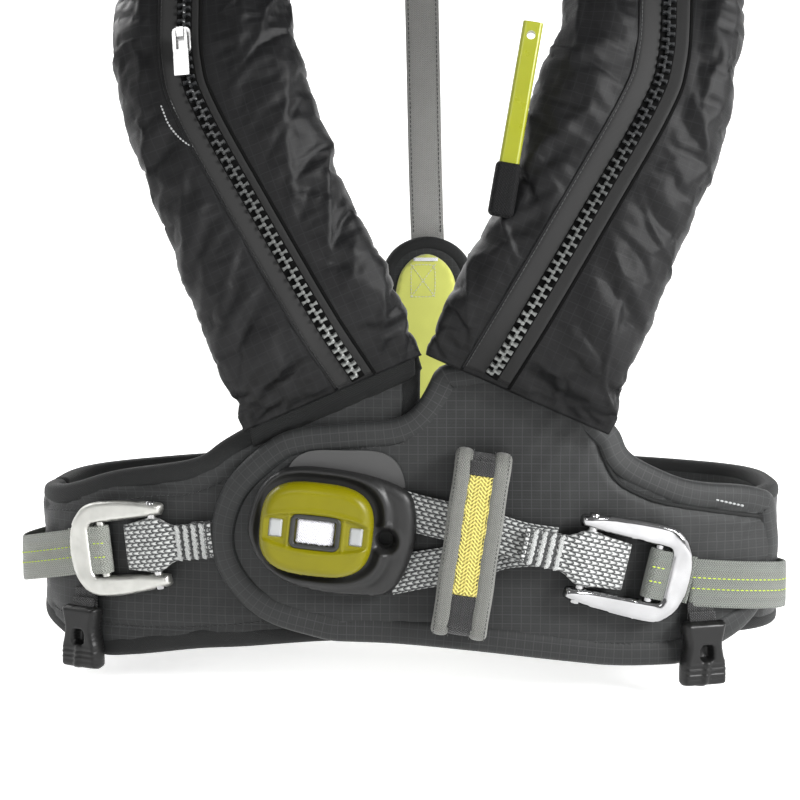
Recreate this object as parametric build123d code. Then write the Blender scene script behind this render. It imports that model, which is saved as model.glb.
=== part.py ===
from build123d import *
import os
from math import cos, pi, radians, sin

# Inflatable life jacket with an integral harness, drawn as it is worn.
# Millimetres, +Z up. The origin is on the wearer's axis, level with the hem of the belt.
# The front faces -Y. Left and right are as seen from the front.

# Belt in plan: a superellipse round the torso, and each layer is an offset from it
BELT_A = 244.0
BELT_B = 100.0
BELT_POWER = 3.2
UNDER_LAYER = (-4.0, 5.0)
OVER_LAYER = (9.5, 18.5)
WEB = 2.2

# Lobes and collar
LOBE_MID_X = 16.0
SECTION_POWER = 2.6
SKIN = 2.5
SEAM_GAP = 0.8

# Zip
TAPE_WIDTH = 27.0
CHAIN_WIDTH = 9.5

# Harness release
RELEASE_X = -49.5
RELEASE_Z = 84.5
CAP_WIDTH = 70.0
CAP_HEIGHT = 58.0
CAP_TILT = -6.0
FLANGE_FRONT = -121.4
FLANGE_BACK = -118.9
BASE_BACK = -121.8
BASE_FRONT = -134.0
CAP_BACK = -134.6
CAP_FRONT = -150.0
EYE = (-8.0, 76.5)
EYE_RADIUS = 5.0

# Harness webbing, buckles and tether loop
HARNESS_OFF = (24.0, 27.0)
LEFT_HARNESS_OFF = (5.5, 8.7)
LEFT_PIN = (-158.0, 67.5)
RIGHT_PIN = (116.0, 66.0)
PIN_RADIUS = 2.9
PIN_OFF_LEFT = 11.6
PIN_OFF_RIGHT = 30.2
PIN_HALF = 23.0
BUCKLE_TALL = 58.0
BUCKLE_THICK = 6.0
BUCKLE_WIDE = {-1: 68.0, 1: 76.0}
BUCKLE_BAR = {-1: 38.0, 1: 45.0}
END_REACH = {-1: 19.0, 1: 25.0}
LEFT_YAW = 12.0
RIGHT_YAW = -7.0
LEFT_ROLL = 7.0
RIGHT_ROLL = -13.0
LOOP_X = 45.5
LOOP_Z = 75.0
LOOP_TALL = 116.0
LOOP_WIDE = 34.0
LOOP_LEAN = 8.0
LOOP_BACK = -119.3
LOOP_FRONT = -146.0

# Waist webbing and thigh-strap clips
LEFT_BAND = (33.0, 63.0)
RIGHT_BAND = (27.0, 57.0)
CLIP_PIVOT_Z = 20.0

# Line cutter
CUTTER_FOOT = (62.0, -156.5, 275.0)
CUTTER_LEAN = 9.5
CUTTER_BACK = -5.0


def super_points(a, b, power, count):
    """Points round a superellipse of half sizes a and b."""
    points = []
    for k in range(count):
        t = 2 * pi * k / count
        c = cos(t)
        s = sin(t)
        x = a * abs(c) ** (2 / power) * (1 if c >= 0 else -1)
        y = b * abs(s) ** (2 / power) * (1 if s >= 0 else -1)
        points.append((x, y))
    return points


def super_face(a, b, power=BELT_POWER, count=64):
    return make_face(Spline(*super_points(a, b, power, count), periodic=True))


def ring(a_low, b_low, thick):
    """A wall that follows the belt's plan, tall enough to be trimmed to any outline."""
    outer = extrude(super_face(a_low + thick, b_low + thick), 330)
    inner = extrude(super_face(a_low, b_low), 330)
    return Pos(0, 0, -30) * (outer - inner)


def belt_layer(low, high):
    return ring(BELT_A + low, BELT_B + low, high - low)


def front_y(x, off):
    """Where the front of the belt is at x, on the layer with that offset."""
    share = (abs(x) / (BELT_A + off)) ** BELT_POWER
    return -(BELT_B + off) * (1 - share) ** (1 / BELT_POWER)


def slab(face, y_near, y_far):
    """A face drawn in X and Z, made solid from y_near to y_far."""
    upright = Plane.XZ * face
    return Pos(0, y_near, 0) * extrude(upright, -(y_far - y_near))


def block(x0, x1, y0, y1, z0, z1):
    size = Box(x1 - x0, y1 - y0, z1 - z0)
    return Pos((x0 + x1) / 2, (y0 + y1) / 2, (z0 + z1) / 2) * size


def outline(*runs):
    """A closed face from runs of points: each run is a spline, and runs meet at corners."""
    edges = []
    for run in runs:
        if len(run) == 2:
            edges.append(Line(run[0], run[1]))
        else:
            edges.append(Spline(*run))
    return make_face(edges)


# Lobe sections from the hem upwards: centre (distance from the middle plane, y, z),
# width, thickness, direction of the lobe, direction that its face looks.
LOBE = [
    ((57, -126.8, 167), 120, 14, (0.40, 0.0, 0.92), (0, -1, 0)),
    ((71, -137.5, 205), 120, 36, (0.40, 0.0, 0.92), (0, -1, 0)),
    ((89, -135, 246), 117, 45, (0.39, 0.06, 0.92), (0, -1, 0)),
    ((107, -131, 291), 116, 48, (0.37, 0.09, 0.92), (0, -1, 0.08)),
    ((126, -124, 342), 118, 48, (0.31, 0.18, 0.93), (0, -1, 0.15)),
    ((138, -107, 395), 114, 46, (0.10, 0.40, 0.91), (0.05, -0.93, 0.38)),
    ((136, -76, 441), 108, 44, (-0.15, 0.64, 0.75), (0.1, -0.78, 0.6)),
    ((121, -34, 477), 102, 42, (-0.38, 0.80, 0.46), (0.1, -0.45, 0.88)),
    ((99, 8, 496), 100, 40, (-0.55, 0.83, 0.15), (0.1, -0.1, 1)),
]
COLLAR = [
    ((99, 8, 496), 100, 40, (-0.55, 0.83, 0.15), (0.1, -0.1, 1)),
    ((68, 47, 501), 98, 40, (-0.75, 0.66, 0.0), (0.12, 0.12, 1)),
    ((34, 72, 499), 98, 40, (-0.92, 0.38, -0.05), (0.05, 0.35, 0.93)),
]
COLLAR_BACK = ((0, 80, 497), 98, 40, (-1, 0, 0), (0, 0.45, 0.89))


def section_plane(section, push=0.0, shift=0.0):
    """The plane of a section on the right, pushed along the lobe or shifted outwards."""
    centre, _, _, along, face = section
    tangent = Vector(*along).normalized()
    across = tangent.cross(Vector(*face)).normalized()
    place = Vector(LOBE_MID_X + centre[0], centre[1], centre[2])
    place = place + tangent * push + across * shift
    return Plane(origin=place, x_dir=across, z_dir=tangent)


def section_face(section, grow, push=0.0, shift=0.0, width=None, thick=None):
    half_wide = (width or section[1]) / 2 + grow
    half_thick = (thick or section[2]) / 2 + grow
    points = super_points(half_wide, half_thick, SECTION_POWER, 20)
    return section_plane(section, push, shift) * make_face(Spline(*points, periodic=True))


def to_left(shape):
    """The mirror image on the left lobe of something built on the right one."""
    return mirror(shape, about=Plane.YZ.offset(LOBE_MID_X))


def lobe_body(grow, first_push=0.0, last_push=-SEAM_GAP):
    faces = [section_face(LOBE[0], grow, first_push)]
    faces += [section_face(section, grow) for section in LOBE[1:-1]]
    faces.append(section_face(LOBE[-1], grow, last_push))
    return loft(faces)


def stay(shape):
    return shape


def lobe_cover(place):
    return place(lobe_body(0)) - place(lobe_body(-SKIN, SKIN, 2.0))


def collar_body(grow, push):
    half = [section_face(COLLAR[0], grow, push)]
    half += [section_face(section, grow) for section in COLLAR[1:]]
    half.append(section_face(COLLAR_BACK, grow))
    right = loft(half)
    return right + to_left(right)


def collar_cover():
    return collar_body(0, 0.0) - collar_body(-SKIN, -2.0)


def lobe_bladder():
    """The folded bladder keeps to the inner half low down, beside the inflation gear."""
    shapes = [(2, -26, 44, 26), (3, -27, 44, 28), (4, -24, 50, 28), (5, -5, 80, 28), (6, 0, 82, 26)]
    faces = [section_face(LOBE[k], 0, 0, shift, w, t) for k, shift, w, t in shapes]
    faces.append(section_face(LOBE[7], -11))
    faces.append(section_face(LOBE[8], -12, -8.0))
    return loft(faces)


ZIP_LINE = [(37, 172), (84, 252), (132, 333), (143, 362), (146, 398)]


def zip_strip(place, low, high, width, foot):
    """A strip along the zip's line that lies on the front of the lobe cover."""
    line = Spline(*[(LOBE_MID_X + u, z) for u, z in ZIP_LINE])
    left_edge = [line.position_at(t / 6) + line.tangent_at(t / 6).rotate(Axis.Z, 90) * width / 2
                 for t in range(7)]
    right_edge = [line.position_at(t / 6) - line.tangent_at(t / 6).rotate(Axis.Z, 90) * width / 2
                  for t in range(7)]
    face = outline(
        left_edge,
        [left_edge[-1], right_edge[-1]],
        list(reversed(right_edge)),
        [right_edge[0], left_edge[0]],
    )
    keep = make_face(Polyline((-215, foot), (-127, foot), (-128, 345), (-108, 405),
                              (-215, 405), close=True))
    front_only = Pos(-260, 0, 0) * extrude(Plane.YZ * keep, 520)
    skin = place(lobe_body(high)) - place(lobe_body(low))
    return skin & place(slab(face, -215, -90)) & place(front_only)


# ---- belt ----

def left_front_panel():
    top = [(-262, 95), (-229, 99), (-189, 111), (-134, 120.5), (-112, 134), (-60, 162), (-5, 182),
           (10, 190)]
    hem = [(8, 9.5), (-45, 9), (-103, 4), (-135, 1.5), (-180, -5), (-205, -6), (-237, 7), (-262, 14)]
    face = outline(top, [top[-1], hem[0]], hem, [hem[-1], top[0]])
    return belt_layer(*UNDER_LAYER) & slab(face, -140, -10)


def right_front_panel():
    flap = [(-42, 12.2), (-82, 24.5), (-106, 48), (-113.5, 76), (-104, 108), (-78, 134),
            (-60, 141.5), (-29, 145), (0, 148), (14, 160), (25, 181.5)]
    top = [(25, 181.5), (60, 184), (100, 170), (131, 141)]
    armhole = [(131, 141), (136, 128), (156, 116), (178, 108), (211, 104), (228, 98)]
    edge = [(228, 98), (224, 59), (208, 22), (171, -2)]
    hem = [(171, -2), (132, -2), (101, 1), (51, 6.5), (0, 11), (-42, 12.2)]
    face = outline(flap, top, armhole, edge, hem)
    return belt_layer(*OVER_LAYER) & slab(face, -150, -60)


def back_panel():
    top_left = [(-262, 96), (-180, 102), (-90, 110), (-50, 140), (-30, 215), (-26, 246), (8, 269)]
    top_right = [(8, 269), (42, 246), (46, 215), (66, 140), (106, 110), (196, 102), (262, 100)]
    hem = [(262, 12), (150, 6), (0, 4), (-150, 6), (-262, 12)]
    face = outline(top_left, top_right, [top_right[-1], hem[0]], hem, [hem[-1], top_left[0]])
    region = block(-270, 270, -9.2, 130, -30, 300) + block(205, 270, -100, -9.2, -30, 300)
    return belt_layer(*UNDER_LAYER) & slab(face, -110, 130) & region


def back_pad_lining():
    """The bright panel on the side of the back pad that faces the wearer."""
    face = outline(
        [(-18, 60), (-17, 180), (-17, 232), (8, 257), (33, 232), (33, 180), (34, 60)],
        [(34, 60), (-18, 60)],
    )
    return belt_layer(-6.4, -4.4) & slab(face, 60, 130)


def back_tunnel():
    face = Pos(0, 44) * Rectangle(236, 52)
    return belt_layer(8.4, 10.4) & slab(face, 40, 130)


def side_webbing(side, band):
    """Waist webbing from a buckle, round the side and into the tunnel on the back."""
    if side < 0:
        body = ring(BELT_A + 5.5, BELT_B + 5.5, WEB)
        region = block(-270, -0.4, -71, 130, *band)
    else:
        front = ring(BELT_A + 19, BELT_B + 19, WEB) & block(0, 300, -150, 0, *band)
        back = ring(BELT_A + 19, BELT_B + 5.5, WEB) & block(0, 300, 0, 150, *band)
        body = front + back
        region = block(0.4, 300, -95, 150, *band)
    return body & region


def back_strap():
    """Webbing from the back pad up to the lower edge of the collar."""
    low = Vector(8, 94.2, 258.5)
    high = Vector(4, 88, 462)
    run = high - low
    plane = Plane(origin=low, x_dir=(1, 0, 0), z_dir=run.normalized())
    return plane * (Pos(0, 0, run.length / 2) * Box(25, WEB, run.length))


# ---- harness release ----

BASE_OUTLINE = [(-66, 121.5), (-48, 121.5), (-18, 116.5), (5.5, 107), (10.8, 94), (11, 79.5),
                (8.5, 67.5), (1.8, 51.5), (-8, 42), (-23, 40.8), (-48, 43), (-69, 48.5),
                (-84, 59.5), (-92.5, 73.5), (-94, 87), (-86.5, 107.5), (-76, 118)]


def base_face(share=1.0):
    """The outline of the release base, drawn in towards its middle by that share."""
    mid_x = -41.5
    mid_z = 81.0
    points = [(mid_x + (x - mid_x) * share, mid_z + (z - mid_z) * share) for x, z in BASE_OUTLINE]
    return make_face(Spline(*points, periodic=True))


def eye_hole(y0, y1):
    return slab(Pos(*EYE) * Circle(EYE_RADIUS), y0, y1)


def release_flange():
    lip = outline([(-72, 110), (-60, 129), (-34, 131), (-9, 129), (4, 108)], [(4, 108), (-72, 110)])
    plate = slab(base_face(0.94), FLANGE_FRONT, FLANGE_BACK) + slab(lip, FLANGE_FRONT, FLANGE_BACK)
    return plate - eye_hole(-140, -110)


def release_base():
    body = slab(base_face(), BASE_FRONT, BASE_BACK)
    rim = body.faces().sort_by(Axis.Y)[0].edges()
    body = fillet(rim, 3.0)
    recess = slab(Pos(*EYE) * Circle(10.5), BASE_FRONT - 1, BASE_FRONT + 3)
    well = slab(Pos(RELEASE_X, RELEASE_Z) * Circle(12), BASE_FRONT - 1, BASE_FRONT + 7)
    return body - recess - well - eye_hole(-140, -110)


def cap_face(grow):
    points = super_points(CAP_WIDTH / 2 + grow, CAP_HEIGHT / 2 + grow, 3.0, 32)
    face = make_face(Spline(*points, periodic=True))
    return Pos(RELEASE_X, RELEASE_Z) * (Rot(0, 0, CAP_TILT) * face)


def cap_local(u, v, shape):
    """A flat shape at (u, v) on the cap, turned with the cap."""
    return Pos(RELEASE_X, RELEASE_Z) * (Rot(0, 0, CAP_TILT) * (Pos(u, v) * shape))


def release_cap():
    body = slab(cap_face(0), CAP_FRONT, CAP_BACK)
    front_edges = body.faces().sort_by(Axis.Y)[0].edges()
    body = fillet(front_edges, 5.5)
    hollow = slab(cap_face(-3.5), CAP_BACK - 8, CAP_BACK + 1)
    hub = slab(Pos(RELEASE_X, RELEASE_Z) * Circle(11), CAP_BACK - 8.5, CAP_BACK)
    window = slab(cap_local(0, 0, RectangleRounded(29, 18.5, 3)), CAP_FRONT - 1, CAP_FRONT + 4.5)
    body = body - hollow + hub - window
    for u in (-24.5, 25):
        body = body - slab(cap_local(u, 0, Rectangle(8.6, 11.6)), CAP_FRONT - 1, CAP_FRONT + 2.4)
    spindle_bore = slab(Pos(RELEASE_X, RELEASE_Z) * Circle(4.5), CAP_BACK - 6, CAP_BACK + 1)
    return body - spindle_bore


def cap_reflectors():
    plates = [slab(cap_local(u, 0, Rectangle(8, 11)), CAP_FRONT + 0.2, CAP_FRONT + 2.0)
              for u in (-24.5, 25)]
    return Compound(children=plates)


def release_tape():
    """The woven tab in the window of the cap."""
    return slab(cap_local(0, 0, RectangleRounded(22, 15, 2)), CAP_FRONT + 0.8, CAP_FRONT + 4.1)


def release_spindle():
    shaft = slab(Pos(RELEASE_X, RELEASE_Z) * Circle(4.2), CAP_BACK - 5.6, BASE_FRONT + 6.4)
    head = slab(Pos(RELEASE_X, RELEASE_Z) * Circle(7), BASE_FRONT + 4, BASE_FRONT + 6.4)
    return shaft + head


def release_spring():
    washer = Circle(10.5) - Circle(7.6)
    return slab(Pos(RELEASE_X, RELEASE_Z) * washer, BASE_FRONT + 0.4, BASE_FRONT + 3.2)


# ---- harness webbing and buckles ----

def pin_plane(side):
    """Local X runs across the buckle, local Y along its pin and local Z out of its face."""
    x, z = LEFT_PIN if side < 0 else RIGHT_PIN
    off = PIN_OFF_LEFT if side < 0 else PIN_OFF_RIGHT
    yaw = radians(LEFT_YAW if side < 0 else RIGHT_YAW)
    roll = radians(LEFT_ROLL if side < 0 else RIGHT_ROLL)
    level = Vector(cos(yaw), -sin(yaw), 0)
    across = level * cos(roll) + Vector(0, 0, 1) * sin(roll)
    outward = Vector(-sin(yaw), -cos(yaw), 0)
    return Plane(origin=(x, front_y(x, off), z), x_dir=across, z_dir=outward)


def upright_rod(radius, half):
    """A rod along local Y of a buckle's plane."""
    return Rot(90, 0, 0) * Cylinder(radius, 2 * half)


def hook_pin(side):
    return pin_plane(side) * upright_rod(PIN_RADIUS, PIN_HALF + 4.5)


def harness_end(side):
    """The doubled end of the harness webbing, folded round the hook pin."""
    toward = -side
    past = END_REACH[side]
    flat = Pos(toward * (30 - past) / 2, 0, 0) * Box(30 + past, 32, 8.4)
    fold = upright_rod(4.9, 16)
    body = flat + fold
    body = body - upright_rod(PIN_RADIUS + 0.3, 30)
    return pin_plane(side) * body


def left_harness_webbing():
    face = outline([(-127, 60), (-110, 61), (-60, 66)], [(-60, 66), (-58, 92)],
                   [(-58, 92), (-110, 85), (-127, 83)], [(-127, 83), (-127, 60)])
    return belt_layer(*LEFT_HARNESS_OFF) & slab(face, -140, -60)


def right_harness_webbing():
    upper = outline([(11.8, 104), (32, 99), (66, 88), (86, 84)], [(86, 84), (86, 62)],
                    [(86, 62), (60, 65), (32, 75), (11.8, 80)], [(11.8, 80), (11.8, 104)])
    lower = outline([(11.8, 67), (30, 70), (60, 83)], [(60, 83), (60, 65)],
                    [(60, 65), (30, 46), (8, 45)], [(8, 45), (11.8, 67)])
    layer = belt_layer(*HARNESS_OFF)
    return layer & slab(upper + lower, -150, -60)


def buckle(side):
    """A cast hook with two open arms, a wide back bar and a round bar for the waist webbing."""
    away = side
    wide = BUCKLE_WIDE[side]
    tip = 9.0
    inner = BUCKLE_TALL / 2 - 9.5
    start = -tip * away
    end = (wide - tip) * away
    centre = (start + end) / 2
    plate = Pos(centre, 0) * RectangleRounded(wide, BUCKLE_TALL, 8.5)
    window = Pos(centre - away * 12, 0) * Rectangle(wide, 2 * inner)
    body = Pos(0, 0, -BUCKLE_THICK / 2) * extrude(plate - window, BUCKLE_THICK)
    body = fillet(body.faces().sort_by(Axis.Z)[-1].edges(), 1.6)
    bar = Pos(away * BUCKLE_BAR[side], 0, 0) * upright_rod(2.8, inner + 4)
    seat = upright_rod(PIN_RADIUS + 0.4, 40)
    slot = Pos(0, 0, -5) * Box(2 * PIN_RADIUS + 0.8, 80, 10)
    relief = Pos(-away * 9, 0, -3.5) * Box(11, 80, 5)
    return pin_plane(side) * (body + bar - seat - slot - relief)


def webbing_fold(side):
    """Waist webbing doubled round the buckle's round bar."""
    away = side
    bar = Pos(away * BUCKLE_BAR[side], 0, 0)
    body = bar * upright_rod(5.0, 15.5) - bar * upright_rod(3.1, 30)
    return pin_plane(side) * body


def buckle_tail(side):
    """Waist webbing behind the back bar of the buckle, up to where it rounds the side."""
    away = side
    body = Pos(away * (BUCKLE_BAR[side] + 15), 0, -4.3) * Box(16, 30, WEB)
    return pin_plane(side) * body


# ---- tether loop ----

def loop_plane():
    return Plane(origin=(LOOP_X, (LOOP_BACK + LOOP_FRONT) / 2, LOOP_Z), x_dir=(0, 1, 0),
                 z_dir=(1, 0, 0))


def lean(shape):
    """Leans a shape to the right about the middle of the loop."""
    return Pos(LOOP_X, 0, LOOP_Z) * (Rot(0, LOOP_LEAN, 0) * (Pos(-LOOP_X, 0, -LOOP_Z) * shape))


def loop_sleeve():
    deep = LOOP_BACK - LOOP_FRONT
    outer = RectangleRounded(deep, LOOP_TALL, 10)
    inner = Pos(0.9, 0) * RectangleRounded(deep - 8, LOOP_TALL - 12, 7)
    body = extrude(loop_plane() * (outer - inner), LOOP_WIDE / 2, both=True)
    return lean(body)


def loop_core():
    return lean(block(LOOP_X - 7.5, LOOP_X + 7.5, LOOP_FRONT - 1.5, LOOP_FRONT - 0.4,
                      LOOP_Z - 26, LOOP_Z + 46))


def loop_tab():
    return lean(block(LOOP_X - 8, LOOP_X + 8, LOOP_FRONT - 2.0, LOOP_FRONT - 0.4,
                      LOOP_Z - 50, LOOP_Z - 26.4))


# ---- thigh-strap clips ----

def clip_plane(side):
    x = -209.0 if side < 0 else 190.0
    off = 13.5 if side < 0 else 27.5
    yaw = radians(27.0 if side < 0 else -20.0)
    return Plane(origin=(x, front_y(x, off), CLIP_PIVOT_Z), x_dir=(cos(yaw), -sin(yaw), 0),
                 z_dir=(-sin(yaw), -cos(yaw), 0))


def level_rod(radius, half):
    return Rot(0, 90, 0) * Cylinder(radius, 2 * half)


def thigh_clip(side):
    profile = Pos(0, -21) * RectangleRounded(29, 29, 4)
    body = Pos(0, 0, -6) * extrude(profile, 12)
    body = fillet(body.faces().sort_by(Axis.Z)[-1].edges(), 2.0)
    cheeks = [Pos(u, -4, 0) * Box(4, 14, 8) for u in (-12.3, 12.3)]
    bar = level_rod(2.2, 12)
    socket = Pos(0, -26, 0) * Box(19, 24, 6.4)
    window = Pos(0, -24, 5) * Box(9, 8, 8)
    return clip_plane(side) * (body + cheeks[0] + cheeks[1] + bar - socket - window)


def clip_strap(side):
    fold = level_rod(4.2, 9) - level_rod(2.6, 12)
    drop = Pos(0, 7.2, -3.2) * Box(18, 7, 2.0)
    return clip_plane(side) * (fold + drop)


# ---- line cutter ----

def cutter_place(shape):
    return Pos(*CUTTER_FOOT) * (Rot(CUTTER_BACK, CUTTER_LEAN, 0) * shape)


def cutter_sleeve():
    outer = RectangleRounded(15, 9.5, 3)
    inner = RectangleRounded(12.8, 7.2, 2.4)
    return cutter_place(extrude(outer, 31) - Pos(0, 0, 2) * extrude(inner, 31))


def cutter_handle():
    bar = Pos(0, 0, 4) * extrude(RectangleRounded(12, 6.4, 2.4), 112)
    hole = Pos(0, 0, 108) * (Rot(90, 0, 0) * Cylinder(2.6, 20))
    pocket = Pos(0, 0, 8) * Box(7, 2.4, 12)
    return cutter_place(bar - hole - pocket)


def cutter_blade():
    return cutter_place(Pos(0, 0, 9) * Box(6.4, 1.2, 9))


# ---- inflation gear inside the left lobe, mouth gear inside the right lobe ----

def gear_plane():
    """Upright along the outer half of the right lobe, with X towards its outer edge."""
    foot = Vector(LOBE_MID_X + 106, -135.5, 232)
    top = Vector(LOBE_MID_X + 145, -127.5, 340)
    return Plane(origin=foot, x_dir=(1, 0, -0.36), z_dir=(top - foot).normalized())


def firing_head():
    body = Pos(0, 0, -19) * Box(26, 20, 38)
    body = fillet(body.edges().filter_by(Axis.Z), 4)
    collar = Pos(0, 0, 3) * Cylinder(11, 6)
    seat = Pos(0, 0, 1) * Cylinder(7.4, 14)
    return gear_plane() * (body + collar - seat)


def co2_cylinder():
    barrel = Pos(0, 0, 60) * Cylinder(12.5, 80)
    barrel = fillet(barrel.edges(), 7)
    neck = Pos(0, 0, 9) * Cylinder(7, 26)
    return gear_plane() * (barrel + neck)


def cylinder_seal():
    ring_face = Circle(9.8) - Circle(7.2)
    return gear_plane() * (Pos(0, 0, 6.4) * extrude(ring_face, 1.6))


def pull_lever():
    arm = Pos(-17, 0, -19) * Box(4, 9, 26)
    eye = Pos(-17, 0, -32) * (Rot(90, 0, 0) * Cylinder(3.4, 9))
    hole = Pos(-17, 0, -32) * (Rot(90, 0, 0) * Cylinder(1.8, 20))
    return gear_plane() * (arm + eye - hole)


def lever_pin():
    shaft = Pos(-17, 0, -32) * (Rot(90, 0, 0) * Cylinder(1.5, 15))
    return gear_plane() * shaft


def oral_tube():
    tube = Pos(0, 0, 50) * (Cylinder(5.5, 90) - Cylinder(3.6, 100))
    valve = Pos(0, 0, -1) * (Cylinder(7.4, 12) - Cylinder(3.6, 20))
    return gear_plane() * (tube + valve)


def oral_cap():
    cup = Pos(0, 0, -4) * Cylinder(9.4, 10)
    inside = Pos(0, 0, -2) * Cylinder(7.9, 10.2)
    return gear_plane() * (cup - inside)


def whistle():
    body = Pos(-24, 0, -16) * Box(12, 9, 38)
    body = fillet(body.edges().filter_by(Axis.Z), 3)
    slot = Pos(-24, 4, -8) * Box(8, 6, 3)
    bore = Pos(-24, 0, -25) * Box(7, 4, 24)
    return gear_plane() * (body - slot - bore)


def rescue_light():
    body = Pos(17, 0, 42) * Cylinder(7.5, 52)
    return gear_plane() * fillet(body.edges(), 1.5)


def light_lens():
    dome = Pos(17, 0, 68.5) * Sphere(7) & Pos(17, 0, 76.5) * Box(20, 20, 16)
    return gear_plane() * dome


# ---- zip slider near the left shoulder ----

def slider_plane():
    line = Vector(ZIP_LINE[4][0] - ZIP_LINE[3][0], 0, ZIP_LINE[4][1] - ZIP_LINE[3][1])
    foot = Vector(LOBE_MID_X + 144.6, -147.6, 380)
    along = Vector(line.X, 7.5, line.Z).normalized()
    return Plane(origin=foot, x_dir=(1, 0, -along.X / along.Z), z_dir=along)


def zip_slider():
    plate = Box(11, 3, 16)
    plate = fillet(plate.edges().filter_by(Axis.Y), 3)
    horn = Pos(0, -3.4, 4) * Box(4, 4, 6)
    hole = Pos(0, -3.6, 4) * (Rot(0, 90, 0) * Cylinder(1.1, 10))
    return slider_plane() * (plate + horn - hole)


def zip_puller():
    bar = Pos(0, -3.6, 4) * (Rot(0, 90, 0) * Cylinder(0.8, 8))
    ears = [Pos(u, -4.6, -1) * Box(1.6, 2, 13) for u in (-3.4, 3.4)]
    tab = Pos(0, -4.6, -15) * Box(9, 2, 16)
    return slider_plane() * (bar + ears[0] + ears[1] + tab)


RIGHT_BLADDER = lobe_bladder()

NODES = {
    "left_lobe_cover": lobe_cover(to_left),
    "right_lobe_cover": lobe_cover(stay),
    "collar_cover": collar_cover(),
    "left_bladder": to_left(RIGHT_BLADDER),
    "right_bladder": RIGHT_BLADDER,
    "collar_bladder": collar_body(-8, 0.0),
    "left_zip_tape": zip_strip(to_left, 0.4, 1.4, TAPE_WIDTH, 168),
    "right_zip_tape": zip_strip(stay, 0.4, 1.4, TAPE_WIDTH, 168),
    "left_zip_teeth": zip_strip(to_left, 1.8, 4.0, CHAIN_WIDTH, 176),
    "right_zip_teeth": zip_strip(stay, 1.8, 4.0, CHAIN_WIDTH, 176),
    "zip_slider": to_left(zip_slider()),
    "zip_puller": to_left(zip_puller()),
    "firing_head": to_left(firing_head()),
    "co2_cylinder": to_left(co2_cylinder()),
    "cylinder_seal": to_left(cylinder_seal()),
    "pull_lever": to_left(pull_lever()),
    "lever_pin": to_left(lever_pin()),
    "oral_tube": oral_tube(),
    "oral_cap": oral_cap(),
    "whistle": whistle(),
    "rescue_light": rescue_light(),
    "light_lens": light_lens(),
    "left_front_panel": left_front_panel(),
    "right_front_panel": right_front_panel(),
    "back_panel": back_panel(),
    "back_pad_lining": back_pad_lining(),
    "back_tunnel": back_tunnel(),
    "back_strap": back_strap(),
    "left_side_webbing": side_webbing(-1, LEFT_BAND),
    "right_side_webbing": side_webbing(1, RIGHT_BAND),
    "release_flange": release_flange(),
    "release_base": release_base(),
    "release_cap": release_cap(),
    "cap_reflectors": cap_reflectors(),
    "release_tape": release_tape(),
    "release_spindle": release_spindle(),
    "release_spring": release_spring(),
    "left_harness_webbing": left_harness_webbing(),
    "left_harness_end": harness_end(-1),
    "right_harness_webbing": right_harness_webbing(),
    "right_harness_end": harness_end(1),
    "left_hook_pin": hook_pin(-1),
    "right_hook_pin": hook_pin(1),
    "left_buckle": buckle(-1),
    "right_buckle": buckle(1),
    "left_webbing_fold": webbing_fold(-1),
    "right_webbing_fold": webbing_fold(1),
    "left_buckle_tail": buckle_tail(-1),
    "right_buckle_tail": buckle_tail(1),
    "loop_sleeve": loop_sleeve(),
    "loop_core": loop_core(),
    "loop_tab": loop_tab(),
    "left_thigh_clip": thigh_clip(-1),
    "right_thigh_clip": thigh_clip(1),
    "left_clip_strap": clip_strap(-1),
    "right_clip_strap": clip_strap(1),
    "cutter_sleeve": cutter_sleeve(),
    "cutter_handle": cutter_handle(),
    "cutter_blade": cutter_blade(),
}

os.makedirs("parts", exist_ok=True)
for name, shape in NODES.items():
    export_step(shape, f"parts/{name}.step")
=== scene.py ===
import math
import random

import bmesh
import bpy
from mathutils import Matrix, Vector, geometry, kdtree, noise
from mathutils.bvhtree import BVHTree


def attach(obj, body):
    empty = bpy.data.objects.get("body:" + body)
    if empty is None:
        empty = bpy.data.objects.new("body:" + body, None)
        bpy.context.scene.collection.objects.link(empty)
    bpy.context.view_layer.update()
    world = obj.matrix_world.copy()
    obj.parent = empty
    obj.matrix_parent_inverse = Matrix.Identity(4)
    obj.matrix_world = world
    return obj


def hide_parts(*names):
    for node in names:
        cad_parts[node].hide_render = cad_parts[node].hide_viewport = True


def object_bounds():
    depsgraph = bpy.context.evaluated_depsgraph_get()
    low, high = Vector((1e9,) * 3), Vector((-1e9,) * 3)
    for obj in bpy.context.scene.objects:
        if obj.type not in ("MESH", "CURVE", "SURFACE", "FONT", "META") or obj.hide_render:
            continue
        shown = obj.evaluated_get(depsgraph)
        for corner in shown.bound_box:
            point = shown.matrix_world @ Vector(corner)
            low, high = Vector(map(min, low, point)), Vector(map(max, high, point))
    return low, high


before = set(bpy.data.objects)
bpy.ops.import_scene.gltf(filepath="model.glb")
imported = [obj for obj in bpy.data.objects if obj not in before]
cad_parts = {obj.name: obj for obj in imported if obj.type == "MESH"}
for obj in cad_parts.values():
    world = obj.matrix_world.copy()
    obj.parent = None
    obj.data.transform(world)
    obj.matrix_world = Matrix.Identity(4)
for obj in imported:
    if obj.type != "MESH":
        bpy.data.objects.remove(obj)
CAD_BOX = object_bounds()
MM = 0.001

# ---------------------------------------------------------------- design sizes, in millimetres

BELT_A = 244.0
BELT_B = 100.0
BELT_POWER = 3.2
LOBE_MID_X = 16.0
SECTION_POWER = 2.6
UNDER_LOW, UNDER_HIGH = -4.0, 5.0
OVER_LOW, OVER_HIGH = 9.5, 18.5


# ---------------------------------------------------------------- camera, light, floor

def look_at(obj, target):
    obj.rotation_euler = (Vector(target) - obj.location).to_track_quat("-Z", "Y").to_euler()


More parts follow.
